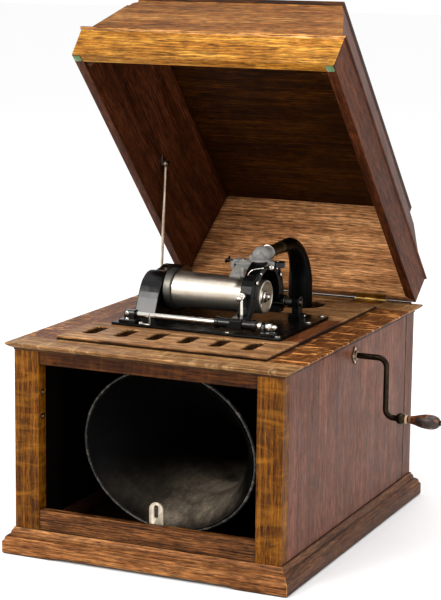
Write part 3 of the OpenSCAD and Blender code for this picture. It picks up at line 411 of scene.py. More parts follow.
def oak(name, grain, dark, mid, light, tone=(1, 1, 1), seed=0.0, rough=0.45, lid=False, rays=0.0, band=0.0,
        wear=0.35, worn=(170, 120, 70), streak=0.6, ring=55.0, wild=5.0, shine=0.08, across=None, inside=None,
        levels=()):
    """Oak with growth rings, long fibres, open pores, ray flecks, painted shade in corners and rubbed edges.
    """
    t = Tree(name)
    if lid:
        # The lid's boards are seen open, so their grain is turned with them.
        turn = {"Vector": t.coords, "Rotation": (radians(LID_ANGLE), 0, 0)}
        t.coords = t.add("Mapping", turn)
    k = "xyz".index(grain)
    side = across or "xyz"[(k + 1) % 3]

    def stretched(along, over, move):
        """A scale drawn out along the grain, with a place in the pattern of this board's own."""
        scale = [over] * 3
        scale[k] = along
        return {"scale": scale, "move": (seed + move, seed * 0.7 + move, seed * 1.3)}

    def figure(along, over, move, detail, rough, distortion=0.0):
        return t.noise(detail=detail, rough=rough, distortion=distortion, **stretched(along, over, move))

    # Growth rings: bands across the board, drawn out along the grain and bent by slow noise.
    wave = t.add("TexWave", {"Vector": t.mapped(**stretched(ring * 0.16, ring, 0.4)), "Scale": 1.0,
                             "Distortion": wild, "Detail": 3.0, "Detail Scale": 0.7, "Detail Roughness": 0.6},
                 "Fac", wave_type="BANDS", bands_direction=side.upper(), wave_profile="SAW")
    broad = figure(3.0, 16.0, 3.1, 3.0, 0.55)
    rings = figure(7.0, 85.0, 2.2, 5.0, 0.62, 0.9)
    thin = figure(14.0, 330.0, 4.4, 4.0, 0.62, 0.5)
    fibres = figure(26.0, 700.0, 1.7, 3.0, 0.6)
    pores = figure(75.0, 1250.0, 5.3, 2.0, 0.5)
    dashes = figure(70.0, 620.0, 9.1, 4.0, 0.7)
    mottle = t.noise(70, 4.0, 0.6, move=(seed, 2, 5))
    patchy = t.noise(26, 3.0, 0.6)
    colour = t.ramp(t.total((wave, 0.10), (rings, 0.40), (thin, 0.34), (mottle, 0.16)),
                    [(0.38, rgb(*dark)), (0.50, rgb(*mid)), (0.62, rgb(*light))])
    colour = t.shade(0.75, colour, t.ramp(broad, [(0.30, (0.60, 0.58, 0.56, 1)),
                                                  (0.62, (1.15, 1.13, 1.10, 1))]))
    colour = t.shade(streak, colour, t.ramp(fibres, [(0.32, 0.5), (0.56, 1.05), (0.8, 1.3)]))
    colour = t.shade(0.8, colour, t.ramp(pores, [(0.36, 0.2), (0.48, 1.0)]))
    colour = t.shade(0.62, colour, t.ramp(dashes, [(0.38, 0.22), (0.52, 1.0), (0.68, 1.4)]))
    if band:
        # Quarter-sawn figure: soft light bands that cross the grain.
        flame = figure(58.0, 16.0, 6.6, 4.0, 0.6, 1.2)
        colour = t.mix(t.times(t.ramp(flame, [(0.48, 0.0), (0.70, 1.0)]), band), colour, rgb(*worn))
    if rays:
        fleck = figure(190.0, 34.0, 8.8, 1.5, 0.4, 1.2)
        colour = t.mix(t.times(t.ramp(fleck, [(0.60, 0.0), (0.66, 1.0)]), rays), colour, rgb(*worn))
    rubbed = t.times(t.worn_edges(0.0014), t.ramp(patchy, [(0.38, 0.15), (0.6, 1.0)]), wear)
    colour = t.mix(rubbed, colour, rgb(*worn))
    # Painted shade: the colour is darkened in crevices and corners by ambient occlusion.
    colour = t.shade(0.9, colour, t.painted_crevice_shade(0.006, 0.40, 0.90, 0.08))
    colour = t.shade(1.0, colour, (*tone, 1))
    if levels:
        # Height bands in millimetres, in the lid's turned coordinates for a lid: each has a tint of its own.
        # They paint shade under the top boards and in the deck's slots, and a highlight on the lid's ledge.
        height = t.place("Z")
        for low, high, tint in levels:
            between = t.times(t.math("GREATER_THAN", height, low * MM),
                              t.math("LESS_THAN", height, high * MM))
            colour = t.mix(between, colour, t.shade(1.0, colour, (*tint, 1)))
    if inside:
        # Painted shade: the faces that look into the case are coloured nearly black.
        inner_face_shade = t.math("LESS_THAN", t.math("ABSOLUTE", t.place("X")), inside * MM)
        colour = t.mix(inner_face_shade, colour, rgb(9, 6, 5))
    t.put(Base_Color=colour, IOR=1.5, Specular_IOR_Level=shine,
          Roughness=t.ramp(t.total((patchy, 0.5), (fibres, 0.5)), [(0.3, rough - 0.08), (0.7, rough + 0.12)]))
    t.bump(t.total((fibres, 0.35), (t.ramp(pores, [(0.3, 0.0), (0.48, 1.0)]), 0.65)), 0.35, 0.0004)
    return t.material


def metal(name, colour, dull, rough=0.25, tarnish=0.4, fine=900.0, metallic=1.0):
    """A bare or plated metal with fine marks along x, tarnish and soft fingering."""
    t = Tree(name)
    marks = t.noise((fine / 30, fine, fine), 3.0, 0.6)
    cloud = t.noise(55, 4.0, 0.6, move=(3, 1, 7))
    spots = t.noise(320, 2.0, 0.5)
    base = t.mix(t.times(t.ramp(cloud, [(0.42, 0.0), (0.66, 1.0)]), tarnish), rgb(*colour), rgb(*dull))
    base = t.mix(t.times(t.ramp(spots, [(0.62, 0.0), (0.70, 1.0)]), tarnish * 0.7), base, rgb(*dull))
    # Painted shade: the colour is darkened in crevices by ambient occlusion.
    t.put(Base_Color=t.shade(0.85, base, t.painted_crevice_shade(0.004, 0.3, 0.9, 0.3)), Metallic=metallic,
          Roughness=t.ramp(t.total((cloud, 0.6), (marks, 0.4)), [(0.35, rough - 0.06), (0.7, rough + 0.14)]))
    t.bump(marks, 0.05, 0.0002)
    return t.material


# Where the horn's dust lies, in metres. Two of them are moved by half a metre, to stay above zero.
RAMP_MOVE = (0.5, 0.5, 0)
DUST_TOP = [(0.030, 1.0), (0.110, 0.0)]
DUST_RIGHT = [(0.470, 0.14), (0.520, 1.0)]
DUST_BACK = [(0.338, 0.12), (0.354, 1.0)]


def settled_dust(t, grit):
    """A mask for dust: low in the bell, right of its middle and well behind its mouth."""
    up = t.add("SeparateXYZ", {0: t.add("NewGeometry", {}, "Normal")}, "Z")
    settle = t.noise(22, 4.0, 0.6, move=(1, 4, 2))
    streaks = t.noise((150, 30, 150), 6.0, 0.75, move=(3, 3, 1))
    drift = t.math("SUBTRACT", t.noise((16, 9, 16), 5.0, 0.65, move=(6, 2, 9)), 0.5)
    wander = t.times(drift, 0.06)
    return t.times(t.ramp(up, [(0.25, 0.0), (0.95, 1.0)]),
                   t.ramp(grit, [(0.4, 0.55), (0.62, 1.0)]),
                   t.ramp(settle, [(0.36, 0.35), (0.6, 1.0)]),
                   t.ramp(t.math("ADD", t.place("Z"), t.times(drift, 0.09)), DUST_TOP),
                   t.ramp(t.math("ADD", t.place("X", RAMP_MOVE), wander), DUST_RIGHT),
                   t.ramp(t.math("ADD", t.place("Y", RAMP_MOVE), wander), DUST_BACK),
                   t.ramp(streaks, [(0.34, 0.45), (0.66, 1.0)]))


def japan(name, colour, rough=0.22, wear=0.5, worn=(92, 84, 72), shine=0.5, dust=None, patch=None,
          patch_amount=0.0):
    """Baked enamel: glossy, slightly uneven, rubbed at its edges. dust and patch are colours over it."""
    t = Tree(name)
    cloud = t.noise(40, 4.0, 0.6)
    grit = t.noise(900, 2.0, 0.6)
    rubbed = t.times(t.worn_edges(0.0008, 0.05, 0.4), t.ramp(cloud, [(0.4, 0.0), (0.62, 1.0)]), wear)
    base = t.mix(rubbed, rgb(*colour), rgb(*worn))
    if patch:
        spot = t.noise(150, 4.0, 0.65, 0.5, move=(2, 5, 1))
        base = t.mix(t.times(t.ramp(spot, [(0.50, 0.0), (0.60, 1.0)]), patch_amount), base, rgb(*patch))
    if dust:
        base = t.mix(settled_dust(t, grit), base, rgb(*dust))
    # Painted shade: the colour is darkened in crevices by ambient occlusion.
    t.put(Base_Color=t.shade(0.7, base, t.painted_crevice_shade(0.004, 0.3, 0.9, 0.3)), Specular_IOR_Level=shine,
          Roughness=t.ramp(cloud, [(0.35, rough - 0.05), (0.7, rough + 0.14)]))
    t.bump(t.total((cloud, 0.4), (grit, 0.12)), 0.10, 0.0006)
    return t.material


def felt(name, colour, dark):
    """Thick wool felt: matt, with short fibres."""
    t = Tree(name)
    fluff = t.noise(1500, 5.0, 0.7)
    blotch = t.noise(260, 3.0, 0.6)
    fade = t.ramp(t.total((fluff, 0.5), (blotch, 0.5)), [(0.36, 0.0), (0.62, 1.0)])
    t.put(Base_Color=t.mix(fade, rgb(*dark), rgb(*colour)), Roughness=0.95, Specular_IOR_Level=0.1,
          Sheen_Weight=0.4)
    t.bump(fluff, 0.6, 0.0005)
    return t.material


# ---- Materials ----
# Painted shade under the top boards' nosing and in the deck's slots: (from, to, tint), heights in
# millimetres.
TOP_SHADE = [(0.0, 223.2, (0.2, 0.16, 0.14))]
DECK_SHADE = [(0.0, 230.7, (0.14, 0.11, 0.09))]
# The lid's front wall above its band is browner, and the ledge between them is tinted pale and bluish: a
# painted highlight.
LEDGE = [(345.6, 1000.0, (0.62, 0.56, 0.92)), (343.0, 345.6, (1.5, 1.8, 5.0))]
# Grain, then dark, middle and light wood, then the tone of the stain.
OAKS = {
    "front_stile": ("z", (56, 28, 8), (100, 56, 18), (142, 88, 36), (0.884, 0.87, 0.302),
                    dict(seed=1.3, band=0.34, worn=(188, 122, 58), ring=50)),
    "rail": ("x", (54, 28, 12), (100, 60, 30), (150, 100, 58), (0.325, 0.227, 0.094),
             dict(seed=4.1, ring=90, across="z", worn=(190, 140, 92), band=0.2)),
    "rail_low": ("x", (34, 18, 8), (96, 62, 38), (140, 98, 66), (1.097, 0.945, 0.655),
                 dict(seed=2.6, ring=120, wild=9.0, across="z", worn=(178, 136, 96))),
    # The side panels' faces inside the case get painted shade, nearly black.
    "side": ("z", (84, 54, 42), (112, 76, 62), (138, 102, 86), (0.938, 0.663, 0.488),
             dict(seed=6.4, streak=0.45, rough=0.4, ring=70, wild=2.5, across="y", worn=(150, 104, 70),
                  shine=0.12, inside=HALF_W - 3.0)),
    "base_x": ("x", (70, 38, 18), (122, 76, 44), (166, 116, 76), (1.355, 1.335, 1.086),
               dict(seed=2.2, ring=100, wild=7.0, across="z", worn=(205, 160, 112))),
    "base_y": ("y", (70, 40, 24), (112, 72, 48), (146, 104, 76), (0.72, 0.646, 0.518),
               dict(seed=3.2, ring=90, worn=(176, 132, 96))),
    "top_x": ("x", (80, 50, 28), (136, 94, 60), (178, 136, 98), (1.099, 1.146, 1.012),
              dict(seed=5.2, rays=0.2, ring=80, worn=(208, 172, 132), levels=TOP_SHADE)),
    "top_y": ("y", (62, 34, 14), (104, 62, 32), (144, 98, 60), (1.041, 0.913, 0.717),
              dict(seed=7.7, rays=0.8, ring=70, across="x", worn=(210, 150, 92), levels=TOP_SHADE)),
    "deck_x": ("x", (66, 40, 22), (118, 80, 52), (162, 120, 84), (1.759, 1.879, 1.72),
               dict(seed=8.2, ring=80, worn=(200, 160, 120), levels=DECK_SHADE)),
    "deck_y": ("y", (54, 30, 15), (90, 56, 32), (126, 86, 54), (1.263, 0.973, 0.88),
               dict(seed=9.9, ring=80, across="x", worn=(190, 150, 108), levels=DECK_SHADE)),
    "lid_band": ("x", (118, 68, 24), (180, 116, 48), (226, 166, 88), (0.888, 0.921, 0.593),
                 dict(seed=11.0, lid=True, ring=80, across="z", worn=(236, 182, 112), levels=LEDGE)),
    "lid_side": ("y", (66, 36, 22), (112, 70, 46), (146, 102, 78), (0.508, 0.338, 0.213),
                 dict(seed=12.0, lid=True, ring=80)),
    "lid_back": ("x", (82, 46, 24), (128, 82, 48), (166, 116, 74), (2.763, 3.103, 3.341),
                 dict(seed=13.0, lid=True, ring=90, across="z", streak=0.8)),
    # The lid's underside boards are made far darker than its other boards: painted shade.
    "shaded_lid_panel": ("x", (24, 9, 4), (58, 28, 14), (92, 52, 28), (0.832, 0.785, 0.099),
                  dict(seed=14.0, lid=True, ring=90, streak=0.8, wear=0.2)),
}
# The material's name, bright and dull colour, roughness and the rest.
METALS = {
    "seam": ("worn_seam", (46, 42, 38), (14, 12, 10), 0.5, dict(metallic=0.3)),
    "nickel": ("polished_nickel", (205, 200, 190), (120, 104, 84), 0.2, {}),
    "nickel_dark": ("aged_nickel", (150, 132, 108), (84, 66, 48), 0.3, dict(tarnish=0.8)),
    "bright": ("bright_nickel", (222, 218, 210), (170, 160, 146), 0.14, dict(tarnish=0.2)),
    "mandrel": ("mandrel_nickel", (214, 206, 194), (176, 158, 134), 0.32, dict(fine=500)),
    "crank": ("worn_nickel", (50, 41, 31), (18, 13, 9), 0.32, dict(tarnish=0.85)),
    "flange": ("flange_steel", (104, 102, 96), (58, 54, 48), 0.42, dict(tarnish=0.5)),
    "stay": ("stay_wire", (200, 184, 162), (98, 64, 44), 0.34, dict(tarnish=0.6)),
    "brass": ("brass", (176, 140, 76), (92, 66, 32), 0.34, dict(tarnish=0.7)),
    "keeper": ("keeper_metal", (176, 164, 146), (120, 106, 90), 0.5, dict(tarnish=0.5, metallic=0.5)),
    "old_brass": ("old_brass", (70, 60, 34), (30, 25, 16), 0.4, dict(tarnish=0.6)),
    "tan": ("tan_ferrule", (190, 158, 118), (120, 90, 60), 0.45, dict(metallic=0.4)),
    "steel": ("steel", (128, 126, 122), (74, 66, 56), 0.36, dict(tarnish=0.6)),
    "dark_steel": ("dark_steel", (52, 48, 44), (24, 21, 19), 0.36, dict(tarnish=0.6)),
}
JAPANS = {
    "japan": ("black_japan", (5, 5, 5), dict(shine=0.12)),
    "japan_gloss": ("gloss_japan", (5, 5, 5), dict(rough=0.14, shine=0.28)),
    "neck": ("neck_japan", (3, 3, 3), dict(rough=0.3, wear=0.1, shine=0.04)),
    "japan_horn": ("horn_japan", (2, 2, 2), dict(rough=0.5, shine=0.04, dust=(196, 178, 156), wear=0.6)),
    "rim": ("rim_japan", (30, 29, 28), dict(rough=0.34, shine=0.25, wear=0.3, patch=(96, 90, 82),
                                            patch_amount=0.6)),
    "grey": ("grey_enamel", (116, 114, 110), dict(rough=0.4, wear=0.7, worn=(40, 38, 36), shine=0.35,
                                                  patch=(66, 66, 66), patch_amount=0.6)),
    "grip": ("grip_lacquer", (26, 16, 10), dict(rough=0.34, wear=0.6, worn=(160, 92, 40), patch=(150, 80, 32),
                                                patch_amount=0.5)),
}


def build_materials():
    m = {key: oak("oak_" + key, *look, **more) for key, (*look, more) in OAKS.items()}
    # The boards inside the case are made very dark: painted shade for the inside of the case.
    m["inner"] = oak("inner_board", "x", (20, 12, 7), (40, 25, 15), (58, 38, 24), seed=15.0, rough=0.6,
                     wear=0.1)
    m.update({key: metal(*look, **more) for key, (*look, more) in METALS.items()})
    m.update({key: japan(*look, **more) for key, (*look, more) in JAPANS.items()})
    m["felt"] = felt("felt_green", (92, 128, 74), (44, 66, 38))
    return m


# ---- CAD nodes that keep their shape ----
WOOD_NODES = {
    "base_front": "base_x", "base_back": "base_x", "base_sides": "base_y", "bottom_board": "inner",
    "side_panels": "side", "back_panel": "inner", "front_stiles": "front_stile", "rear_stiles": "side",
    "top_rail": "rail", "bottom_rail": "rail_low", "top_board_front": "top_x", "top_board_rear": "top_x",
    "top_board_sides": "top_y", "deck_front": "deck_x", "deck_sides": "deck_y", "deck_rear": "deck_x",
    "lid_front": "lid_band", "lid_back": "lid_back", "lid_sides": "lid_side", "lid_top": "shaded_lid_panel",
    "lid_corner_blocks": "shaded_lid_panel",
}
METAL_NODES = {
    "lid_hinge_lower": "brass", "bedplate": "japan", "feed_post": "japan", "motor_plates": "steel",
    "motor_pillars": "brass", "governor_brake": "steel", "lid_hinge_upper": "brass", "stay_bracket": "nickel",
    "reproducer": "steel", "start_lever": "nickel", "horn_strap": "steel", "mandrel_shaft": "nickel",
    "feed_screw": "steel", "idler_gear": "brass", "second_wheel": "brass", "spring_barrel": "steel",
    "mainspring": "steel", "winding_arbor": "steel", "governor": "brass", "crank": "crank",
}
EASED_METAL = ("feed_post", "reproducer", "stay_bracket")


def dress_nodes(m):
    for name, key in WOOD_NODES.items():
        soften_node(name, m[key], 0.5)
    for name, key in METAL_NODES.items():
        soften_node(name, m[key], 0.25 if name in EASED_METAL else 0.0)


# ---- Pieces: tone passage and carriage ----
DOME = (47.7, -11.2, 308.8)
ARM_Z = 309.4
NECK = (44.0, 111.0)
NECK_TURN = atan2(DOME[0] - NECK[0], NECK[1] - DOME[1])
NECK_REACH = hypot(DOME[0] - NECK[0], NECK[1] - DOME[1])
NECK_MATRIX = turned_at(*NECK, 0, NECK_TURN, "Z")
NECK_BEND = 47.0
NECK_TIP = -64.6


def build_gooseneck(m):
    """The black pipe: a short run, a quarter bend that widens, and a leg that enters the horn's tube."""
    s = Shape(NECK_MATRIX)
    path, radii = [(0, NECK_TIP, ARM_Z), (0, NECK_TIP + 0.8, ARM_Z)], [6.5, 6.9]
    for k in range(6):
        t = k / 5
        path.append((0, NECK_TIP + 1.6 + (-NECK_BEND - NECK_TIP - 1.6) * t, ARM_Z))
        radii.append(6.7 + 0.5 * t)
    for k in range(1, 37):
        a = pi / 2 * k / 36
        path.append((0, NECK_BEND * (sin(a) - 1), ARM_Z - NECK_BEND * (1 - cos(a))))
        radii.append(7.2 + (13.6 - 7.2) * (k / 36) ** 1.05)
    for z in (250, 236, 222, 205.4):
        path.append((0, 0, z))
        radii.append(13.6)
    path.append((0, 0, 205.0))
    radii.append(13.2)
    s.pipe(path, radii, 1.3, 72)
    s.piece("gooseneck_tube", m["neck"], "carriage", "gooseneck", angle=50)


def build_sleeve(m):
    """The brass sleeve that joins the dome to the gooseneck, with a raised bead near its end."""
    s = Shape(NECK_MATRIX)
    a = 14 - NECK_REACH
    s.ring((0, 0, ARM_Z), Y, [(a, 4.0), (a, 6.3), (NECK_TIP - 5.4, 6.3), (NECK_TIP - 5.0, 6.7),
                              (NECK_TIP - 4.2, 6.7), (NECK_TIP - 3.8, 6.3), (NECK_TIP - 0.9, 6.3),
                              (NECK_TIP - 0.5, 6.6), (NECK_TIP, 6.4), (NECK_TIP, 4.9), (NECK_TIP + 6, 4.9),
                              (NECK_TIP + 6, 4.0)], 64)
    s.piece("tone_sleeve", m["old_brass"], "carriage", "neck_sleeve", angle=28)


def build_bar(m):
    """The grey casting over the record: bar, bent lugs, dome and collar in one."""
    s = Shape()
    y = MANDREL[0]
    left, right = 21.0, 68.0
    outline = circle(left, y, 7.0, 20, 90, 270) + circle(right, y, 6.0, 20, -90, 90)
    s.prism(outline, "z", 298.2, 303.0)
    s.prism(rect(y - 7.5, 292.4, y + 6, 301), "x", 14.2, 18.2)
    s.strap(21.0, 34.0, 31.4, 35.4, 92, 138)
    s.strap(33.0, 45.0, 33.2, 36.4, 92, 118)
    s.prism([(y - 3, 303), (y + 3, 303), (y + 2, 309), (y - 2, 309)], "x", 34, 47)
    s.ball(DOME, 10.2, 48)
    s.turned((DOME[0], y, 297.9), Z, [(0, 11.2), (5.4, 11.6), (6.6, 10.6)], 48)
    s.turned((DOME[0], y, DOME[2]), (-0.03, 1, 0.03),
             [(0, 7.4), (14, 7.4), (14.6, 7.8), (18.9, 7.8), (19.4, 7.3)], 48)
    s.piece("carriage_casting", m["grey"], "carriage", "carriage_bar", remesh=0.42, soften=5)
    cap = Shape()
    cap.turned((68, y, 297.3), Z, [(0, 6.1), (0.5, 6.7), (5.5, 6.7), (6.2, 6.0)], 44)
    cap.piece("bar_end", m["japan_gloss"], "carriage", angle=35)
    band = Shape(NECK_MATRIX)
    e = 19.6 - NECK_REACH
    band.ring((0, 0, ARM_Z), Y, [(e - 3.2, 7.6), (e - 2.9, 8.2), (e - 0.5, 8.2), (e, 7.7), (e, 6.35),
                                 (e - 3.2, 6.35)], 64)
    band.piece("collar_ring", m["nickel"], "carriage", angle=28)


def build_frame(m):
    """The black horseshoe that carries the bar, with its guide sleeve and feed nut."""
    s = Shape()
    outer = [(33, 241), (33, 262), (31.6, 270), (29, 278), (24.5, 285.5), (18, 292), (10, 296.4), (0, 297),
             (-30, 297), (-38, 294.6), (-44, 291), (-50, 286.4), (-54, 281.5), (-57.4, 274), (-58.6, 266),
             (-60, 258), (-66, 252.5), (-74, 251.5), (-82, 251.2), (-84.6, 249), (-85, 241), (-82, 239.6),
             (-70, 239.8), (-62, 242.5), (-54, 249), (-47, 256.4)]
    inner = circle(*MANDREL, 30.4, 40, 180, 0)
    outline = outer + inner + [(19.4, 252), (19.4, 241)]
    s.plate(outline, "x", 42.2, 56.0, [circle(*GUIDE, 3.6, 24)])
    s.prism(rect(-20, 295, -2, 298), "x", 43, 55)
    arc = circle(*MANDREL, 40.6, 30, 172, 20) + circle(*MANDREL, 37.6, 30, 20, 172)
    s.prism(arc, "x", 41.0, 57.2)
    s.strap(29.5, 43.0, 30.8, 32.8, -14, 92)
    s.piece("carriage_horseshoe", m["japan"], "carriage", "carriage_frame", remesh=0.5, soften=4)
    t = Shape()
    g = (0, *GUIDE)
    t.ring(g, X, [(24, 3.1), (24, 5.4), (24.6, 6.2), (28, 6.2), (28.6, 5.2), (66.6, 5.2), (67.4, 6.2),
                  (71.4, 6.2), (72, 5.4), (72, 3.1)], 56)
    f = (0, *FEED)
    t.ring(f, X, collar(36, 62, 4.2, 6.9, 7.4, 0.6), 48)
    t.piece("carriage_sleeves", m["japan_gloss"], "carriage", angle=28)


def build_carriage_small(m):
    """Thumb screw, screw heads, the lift lever's pin, the wire spring and its pillar."""
    s = Shape()
    y = MANDREL[0]
    # Thumb screw at the left end of the bar: shank, two wings and a knob.
    s.turned((14.6, y, 300.5), (-1, 0, 0), [(0, 1.6), (5, 1.6), (5.3, 2.7), (6.8, 2.7), (7.2, 1.6),
                                            (9.4, 1.4)], 24)
    for side in (-1, 1):
        s.turned((7.0, y + side * 3.2, 300.5 + side * 1.0), (0, side, 0.5),
                 [(-2.6, 1.1), (0, 2.0), (2.2, 2.3), (3.6, 1.5)], 20, squash=(0.45, 1))
    s.piece("wing_screw", m["dark_steel"], "carriage", "carriage_screws", angle=30)
    n = Shape()
    for p, r, turn in (((57.3, -45, 284), 2.6, 0.3), ((57.3, 20, 284), 2.6, 1.1),
                       ((57.3, -35.5, 292.6), 1.7, 0.9), ((57.3, 8, 292.8), 2.2, 2.0)):
        n.screw(p, X, r, 1.3, turn)
    for x, yy, turn in ((66.5, -10.2, 0.5), (27.5, -14.6, 1.9)):
        n.screw((x, yy, 302.9), Z, 2.1, 1.1, turn)
    n.screw((62.4, -18.6, 297.5), (0.5, -1, 0.2), 2.5, 1.8, 0.7)
    n.turned((49, -56, 273), (0, -1, 0), [(0, 2.15), (13.6, 2.15), (14.2, 1.7)], 24)
    n.piece("carriage_fittings", m["nickel"], "carriage", angle=30)
    w = Shape()
    path = [(44.2, -43, 288.5), (45.4, -42.6, 292.0), (48.4, -41.6, 296.2), (52.6, -40.4, 298.2),
            (57.6, -38.6, 299.0), (60.4, -36.0, 299.4)]
    w.tube(smooth_path(path, 6), 0.55, 12)
    w.piece("wire_spring", m["bright"], "carriage", angle=50)
    e = Shape()
    e.tube(smooth_path([(39.4, -42, 299.6), (39.8, -44.5, 297.8), (40.2, -45.2, 293.5), (40.4, -44.6, 289.6)],
                       5), [1.7] * 16, 16)
    e.piece("spring_pillar", m["grey"], "carriage", angle=50)


def build_lift_lever(m):
    """A hub on its pin, a hanging handle and a small ball beside it."""
    s = Shape()
    y = -67.7
    s.ring((49, y, 273), (0, -1, 0), collar(-1.3, 1.3, 2.25, 3.6, 4.1, 0.6), 40)
    s.turned((49, y, 269.4), (0.02, 0, -1), [(0, 1.2), (1.2, 1.5), (4, 1.55), (14, 1.75), (17.8, 2.0),
                                             (19.2, 1.9), (19.8, 1.2)], 28)
    s.ball((46.9, y - 2.0, 270.6), 3.1, 28)
    s.turned((49, y - 0.2, 272), (-0.7, -0.6, -0.45), [(0, 1.3), (3.4, 1.3)], 16)
    s.piece("lift_handle", m["bright"], "lift_arm", "lift_lever", angle=40)


# ---- Pieces: gear housing, rod, brackets ----
def housing_outline(inset=0.0):
    """The side view of the housing: an arch over the mandrel gear and a rounder one over the feed gear."""
    front = [(-52, BED_Z), (-50.4, 238), (-48.9, 240.4), (-46.5, 246), (-42, 256), (-38.6, 262.4),
             (-35, 268.7), (-31.2, 273.6), (-25, 278), (-21.6, 279.9), (-18, 281.2), (-13, 282), (-8, 282),
             (-2, 281.2), (2, 280.2)]
    cover_r = 30.6
    cover = []
    for k in range(30):
        a = radians(112 - k * 5)
        y, z = FEED[0] + cover_r * cos(a), FEED[1] + cover_r * sin(a)
        if z > BED_Z + 0.1 and y > 6:
            cover.append((y, z))
    end_y = FEED[0] + sqrt(cover_r ** 2 - (BED_Z - FEED[1]) ** 2)
    outer = front + cover + [(end_y, BED_Z)]
    if not inset:
        return outer
    out = []
    n = len(outer)
    for i, (y, z) in enumerate(outer):
        a, b = Vector(outer[max(i - 1, 0)]), Vector(outer[min(i + 1, n - 1)])
        d = (b - a).normalized()
        out.append((y + d.y * inset, max(z - d.x * inset, BED_Z)))
    return out


def build_housing(m):
    """The gear housing: two end walls and the skin that joins them, cast in one."""
    s = Shape()
    outer = housing_outline()
    holes = [circle(*MANDREL, 4.6, 24), circle(*FEED, 4.6, 24)]
    s.plate(outer, "x", -87.0, -84.6, holes)
    s.plate(outer, "x", -64.4, -62.0, holes)
    inner = housing_outline(1.3)
    inner[0], inner[-1] = (-50.7, BED_Z), (inner[-1][0] - 0.6, BED_Z)
    s.prism(outer + list(reversed(inner)), "x", -87.0, -62.0)
    s.piece("gear_case", m["japan_gloss"], "cabinet", "gear_housing", remesh=0.5, soften=5)


def build_guide_rod(m):
    """The polished rod with its two collars and knob, and the two stands that hold it."""
    s = Shape()
    g = (0, *GUIDE)
    s.turned(g, X, [(-75.4, 1.6), (-74.6, 2.6), (-73.6, 3.0), (88.4, 3.0), (89, 2.4)], 48)
    s.ring(g, X, collar(73.5, 77.5, 3.0, 3.8, 4.2, 0.4), 40)
    s.ring(g, X, collar(82.4, 88.6, 3.0, 3.9, 4.4, 0.6), 40)
    s.ball((91.4, *GUIDE), 3.0, 28)
    s.piece("rod_polished", m["bright"], "cabinet", "guide_rod", angle=40)
    b = Shape()
    hole = circle(*GUIDE, 3.2, 24)
    left = [(-84.2, BED_Z), (-72.2, BED_Z), (-72.4, 246.5), (-74, 249), (-76.5, 249.6), (-80.5, 249.6),
            (-83, 249), (-84, 246.5)]
    b.plate(left, "x", -82, -70, [hole])
    b.prism(rect(-88, -85.6, -68, -71.4), "z", BED_Z, BED_Z + 3.6)
    right = [(-84.0, BED_Z), (-72.4, BED_Z), (-72.8, 243), (-74.2, 247.6), (-78.2, 250), (-82.2, 247.6),
             (-83.6, 243)]
    b.plate(right, "x", 78, 82, [hole])
    b.prism(rect(78, -84.2, 92, -72.2), "z", BED_Z, BED_Z + 3.4)
    b.prism(rect(78, -81, 90, -75.4), "z", BED_Z, 240.5)
    b.piece("rod_stands", m["japan_gloss"], "cabinet", "rod_brackets", remesh=0.45, soften=3)


def build_bed_screws(m):
    s = Shape()
    for i, (x, y) in enumerate([(-92, -30), (96, -80.5), (96, 6), (96, 46), (-30, 46), (40, -83)]):
        s.screw((x, y, BED_Z - 0.1), Z, 3.3, 1.7, 0.5 + 0.9 * i)
    for i, z in enumerate((239.4, 246.4)):
        s.screw((-78.2, -84.0, z), (0, -1, 0.1), 2.2, 1.2, 0.4 + i)
    for i, (x, y) in enumerate([(85.5, -82.0), (89.0, -75.4)]):
        s.screw((x, y, BED_Z + 3.2), Z, 1.9, 1.2, 0.9 + i)
    s.turned((-62, -83.6, BED_Z), Z, [(0, 1.15), (1.9, 1.15), (2.0, 2.3), (2.7, 2.1), (3.0, 1.1)], 24)
    s.ball((71.0, 20.0, BED_Z + 2.2), 2.4, 24)
    s.ball((80.6, 31.0, BED_Z + 2.0), 2.2, 24)
    s.piece("bed_fasteners", m["nickel"], "cabinet", "bed_screws", angle=30)


def build_mandrel(m):
    """The tapered drum with its hollow end, the darker flange at its root and the nut on its shaft."""
    s = Shape()
    x0, x1 = -61.0, 53.8
    flange = [(x0, 4.05), (x0, 20.0), (x0 + 0.5, 22.2), (x0 + 1.2, 23.0), (x0 + 8.2, 23.0), (x0 + 9.0, 22.6),
              (x0 + 9.5, 21.6), (x0 + 9.5, 4.05)]
    loop = [(x0 + 9.6, 4.05), (x0 + 9.6, 20.1), (x0 + 10.1, 20.4), (x1 - 1.4, 18.52), (x1 - 0.5, 18.2),
            (x1, 17.5), (x1, 16.7), (x1 - 0.6, 16.3), (47.5, 16.1), (44.6, 15.4), (44.0, 14.4), (44.0, 9.6),
            (44.6, 9.0), (48.6, 8.6), (51.2, 6.6), (52.0, 5.4), (52.0, 4.05)]
    s.ring((0, *MANDREL), X, loop, 128)
    s.piece("mandrel_turned", m["mandrel"], "mandrel_drive", "mandrel", angle=24)
    ring = Shape()
    ring.ring((0, *MANDREL), X, flange, 128)
    ring.piece("mandrel_flange", m["flange"], "mandrel_drive", angle=24)
    h = Shape()
    h.ball((54.6, *MANDREL), 3.6, 32)
    h.ring((0, *MANDREL), X, [(50.6, 3.9), (50.6, 5.8), (51.4, 6.6), (53.2, 6.6), (54.2, 5.6), (54.2, 3.6)],
           40)
    h.piece("mandrel_nut", m["nickel"], "mandrel_drive", angle=35)


# ---- Pieces: horn ----
HORN_TUBE_R, HORN_END_R = 20.0, 24.5
HORN_REACH = hypot(NECK[0] - PIVOT[0], NECK[1] - PIVOT[1])
HORN_TURN = atan2(NECK[0] - PIVOT[0], NECK[1] - PIVOT[1])
HORN_MATRIX = turned_at(*PIVOT, 0, -HORN_TURN, "Z")
ELBOW_R = 58.0
BELL_END = HORN_REACH + 1.5 - ELBOW_R
BELL_Z = 72


